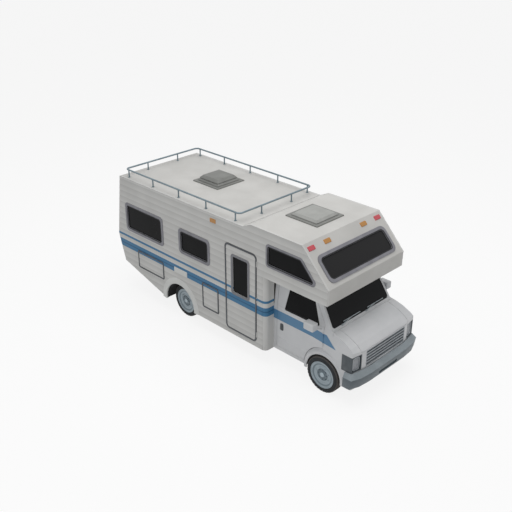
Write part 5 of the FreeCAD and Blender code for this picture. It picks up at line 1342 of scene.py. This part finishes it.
def swollen(piece, cap):
    """A stuffed pad: remeshed, and blown up as cloth with its movement held to a cap."""
    modify(piece, "REMESH", mode="VOXEL", voxel_size=0.012)
    still = [vertex.co.copy() for vertex in piece.data.vertices]
    cloth = piece.modifiers.new("stuffing", "CLOTH")
    cloth.settings.use_pressure = True
    cloth.settings.uniform_pressure_force = 4.0
    cloth.settings.effector_weights.gravity = 0.0
    for step in range(1, 21):
        bpy.context.scene.frame_set(step)
    bpy.ops.object.modifier_apply(modifier=cloth.name)
    bpy.context.scene.frame_set(1)
    for vertex, start in zip(piece.data.vertices, still):
        move = vertex.co - start
        if move.length > cap:
            vertex.co = start + move * (cap / move.length)


def sewn(piece, centre, spread):
    """Draws two seams into the pad, along it at a spread from its middle, and smooths it."""
    for vertex in piece.data.vertices:
        gap = abs(abs(vertex.co.y - centre) - spread)
        if gap < SEAM_REACH and abs(vertex.normal.y) < 0.7:
            vertex.co -= vertex.normal * SEAM_DEPTH * (1 - gap / SEAM_REACH)
    modify(piece, "SUBSURF", levels=1, render_levels=1)


class MOTORHOME_OT_seats(bpy.types.Operator):
    """Upholsters the two cab seats: cushion, back and head rest on a boxed base"""
    bl_idname = "motorhome.seats"
    bl_label = "Cab seats"

    def execute(self, context):
        pieces = []
        for name, outline, (right, left), cap, spread in SEAT_PADS:
            piece = outlined(f"seat_{name}_right", [(SEAT_X + u, right, z) for u, z in outline],
                             (0, left - right, 0))
            modify(piece, "BEVEL", width=0.020, segments=3)
            swollen(piece, cap)
            sewn(piece, (right + left) / 2, spread)
            pieces.append((piece, finish_of("cab_seats"), "seat_fabric", True))
        base = outlined("seat_base_right", [(SEAT_X + u, y, SEAT_BASE_Z) for u, y in SEAT_BASE],
                        (0, 0, SEAT_BASE_HEIGHT))
        pick(lambda face: abs(face.normal.x) > 0.9)
        bpy.ops.mesh.inset(thickness=0.030, depth=-0.006)
        modify(base, "BEVEL", width=0.006, segments=2)
        pieces.append((base, plain_finish("grained_base_vinyl"), "black_plastic", False))
        for piece, finish, slot, soft in pieces:
            for each in (piece, left_of(piece, Matrix.Translation((0, SEAT_SPACING, 0)))):
                complete(each, finish, "chassis", 40, ["cab_seats"])
        return {"FINISHED"}


class MOTORHOME_PT_panel(bpy.types.Panel):
    """Lists the motorhome's settings and operators in the sidebar"""
    bl_idname = "MOTORHOME_PT_panel"
    bl_label = "Motorhome"
    bl_space_type = "VIEW_3D"
    bl_region_type = "UI"
    bl_category = "Motorhome"

    def draw(self, context):
        for setting in MOTORHOME_PG_settings.__annotations__:
            self.layout.prop(context.scene.motorhome_settings, setting)
        for operator in OPERATORS:
            self.layout.operator(operator.bl_idname)


OPERATORS = (
    MOTORHOME_OT_stage,
    MOTORHOME_OT_coach_finish,
    MOTORHOME_OT_cab_finish,
    MOTORHOME_OT_running_gear_finish,
    MOTORHOME_OT_siding,
    MOTORHOME_OT_trims,
    MOTORHOME_OT_roof_fittings,
    MOTORHOME_OT_gaskets,
    MOTORHOME_OT_arches,
    MOTORHOME_OT_bumper,
    MOTORHOME_OT_lamps,
    MOTORHOME_OT_tyres,
    MOTORHOME_OT_wheels,
    MOTORHOME_OT_wipers,
    MOTORHOME_OT_door_furniture,
    MOTORHOME_OT_seats,
)
CLASSES = (MOTORHOME_PG_settings, *OPERATORS, MOTORHOME_PT_panel)


def register():
    """Registers the classes and hangs the settings on the scene."""
    for cls in CLASSES:
        bpy.utils.register_class(cls)
    bpy.types.Scene.motorhome_settings = bpy.props.PointerProperty(type=MOTORHOME_PG_settings)


def unregister():
    """Takes the settings and the classes away again."""
    del bpy.types.Scene.motorhome_settings
    for cls in reversed(CLASSES):
        bpy.utils.unregister_class(cls)


def dress():
    """Runs every operator in order."""
    register()
    for operator in OPERATORS:
        bpy.ops.object.select_all(action="DESELECT")
        group, name = operator.bl_idname.split(".")
        getattr(getattr(bpy.ops, group), name)()


if __name__ == "__main__":
    dress()
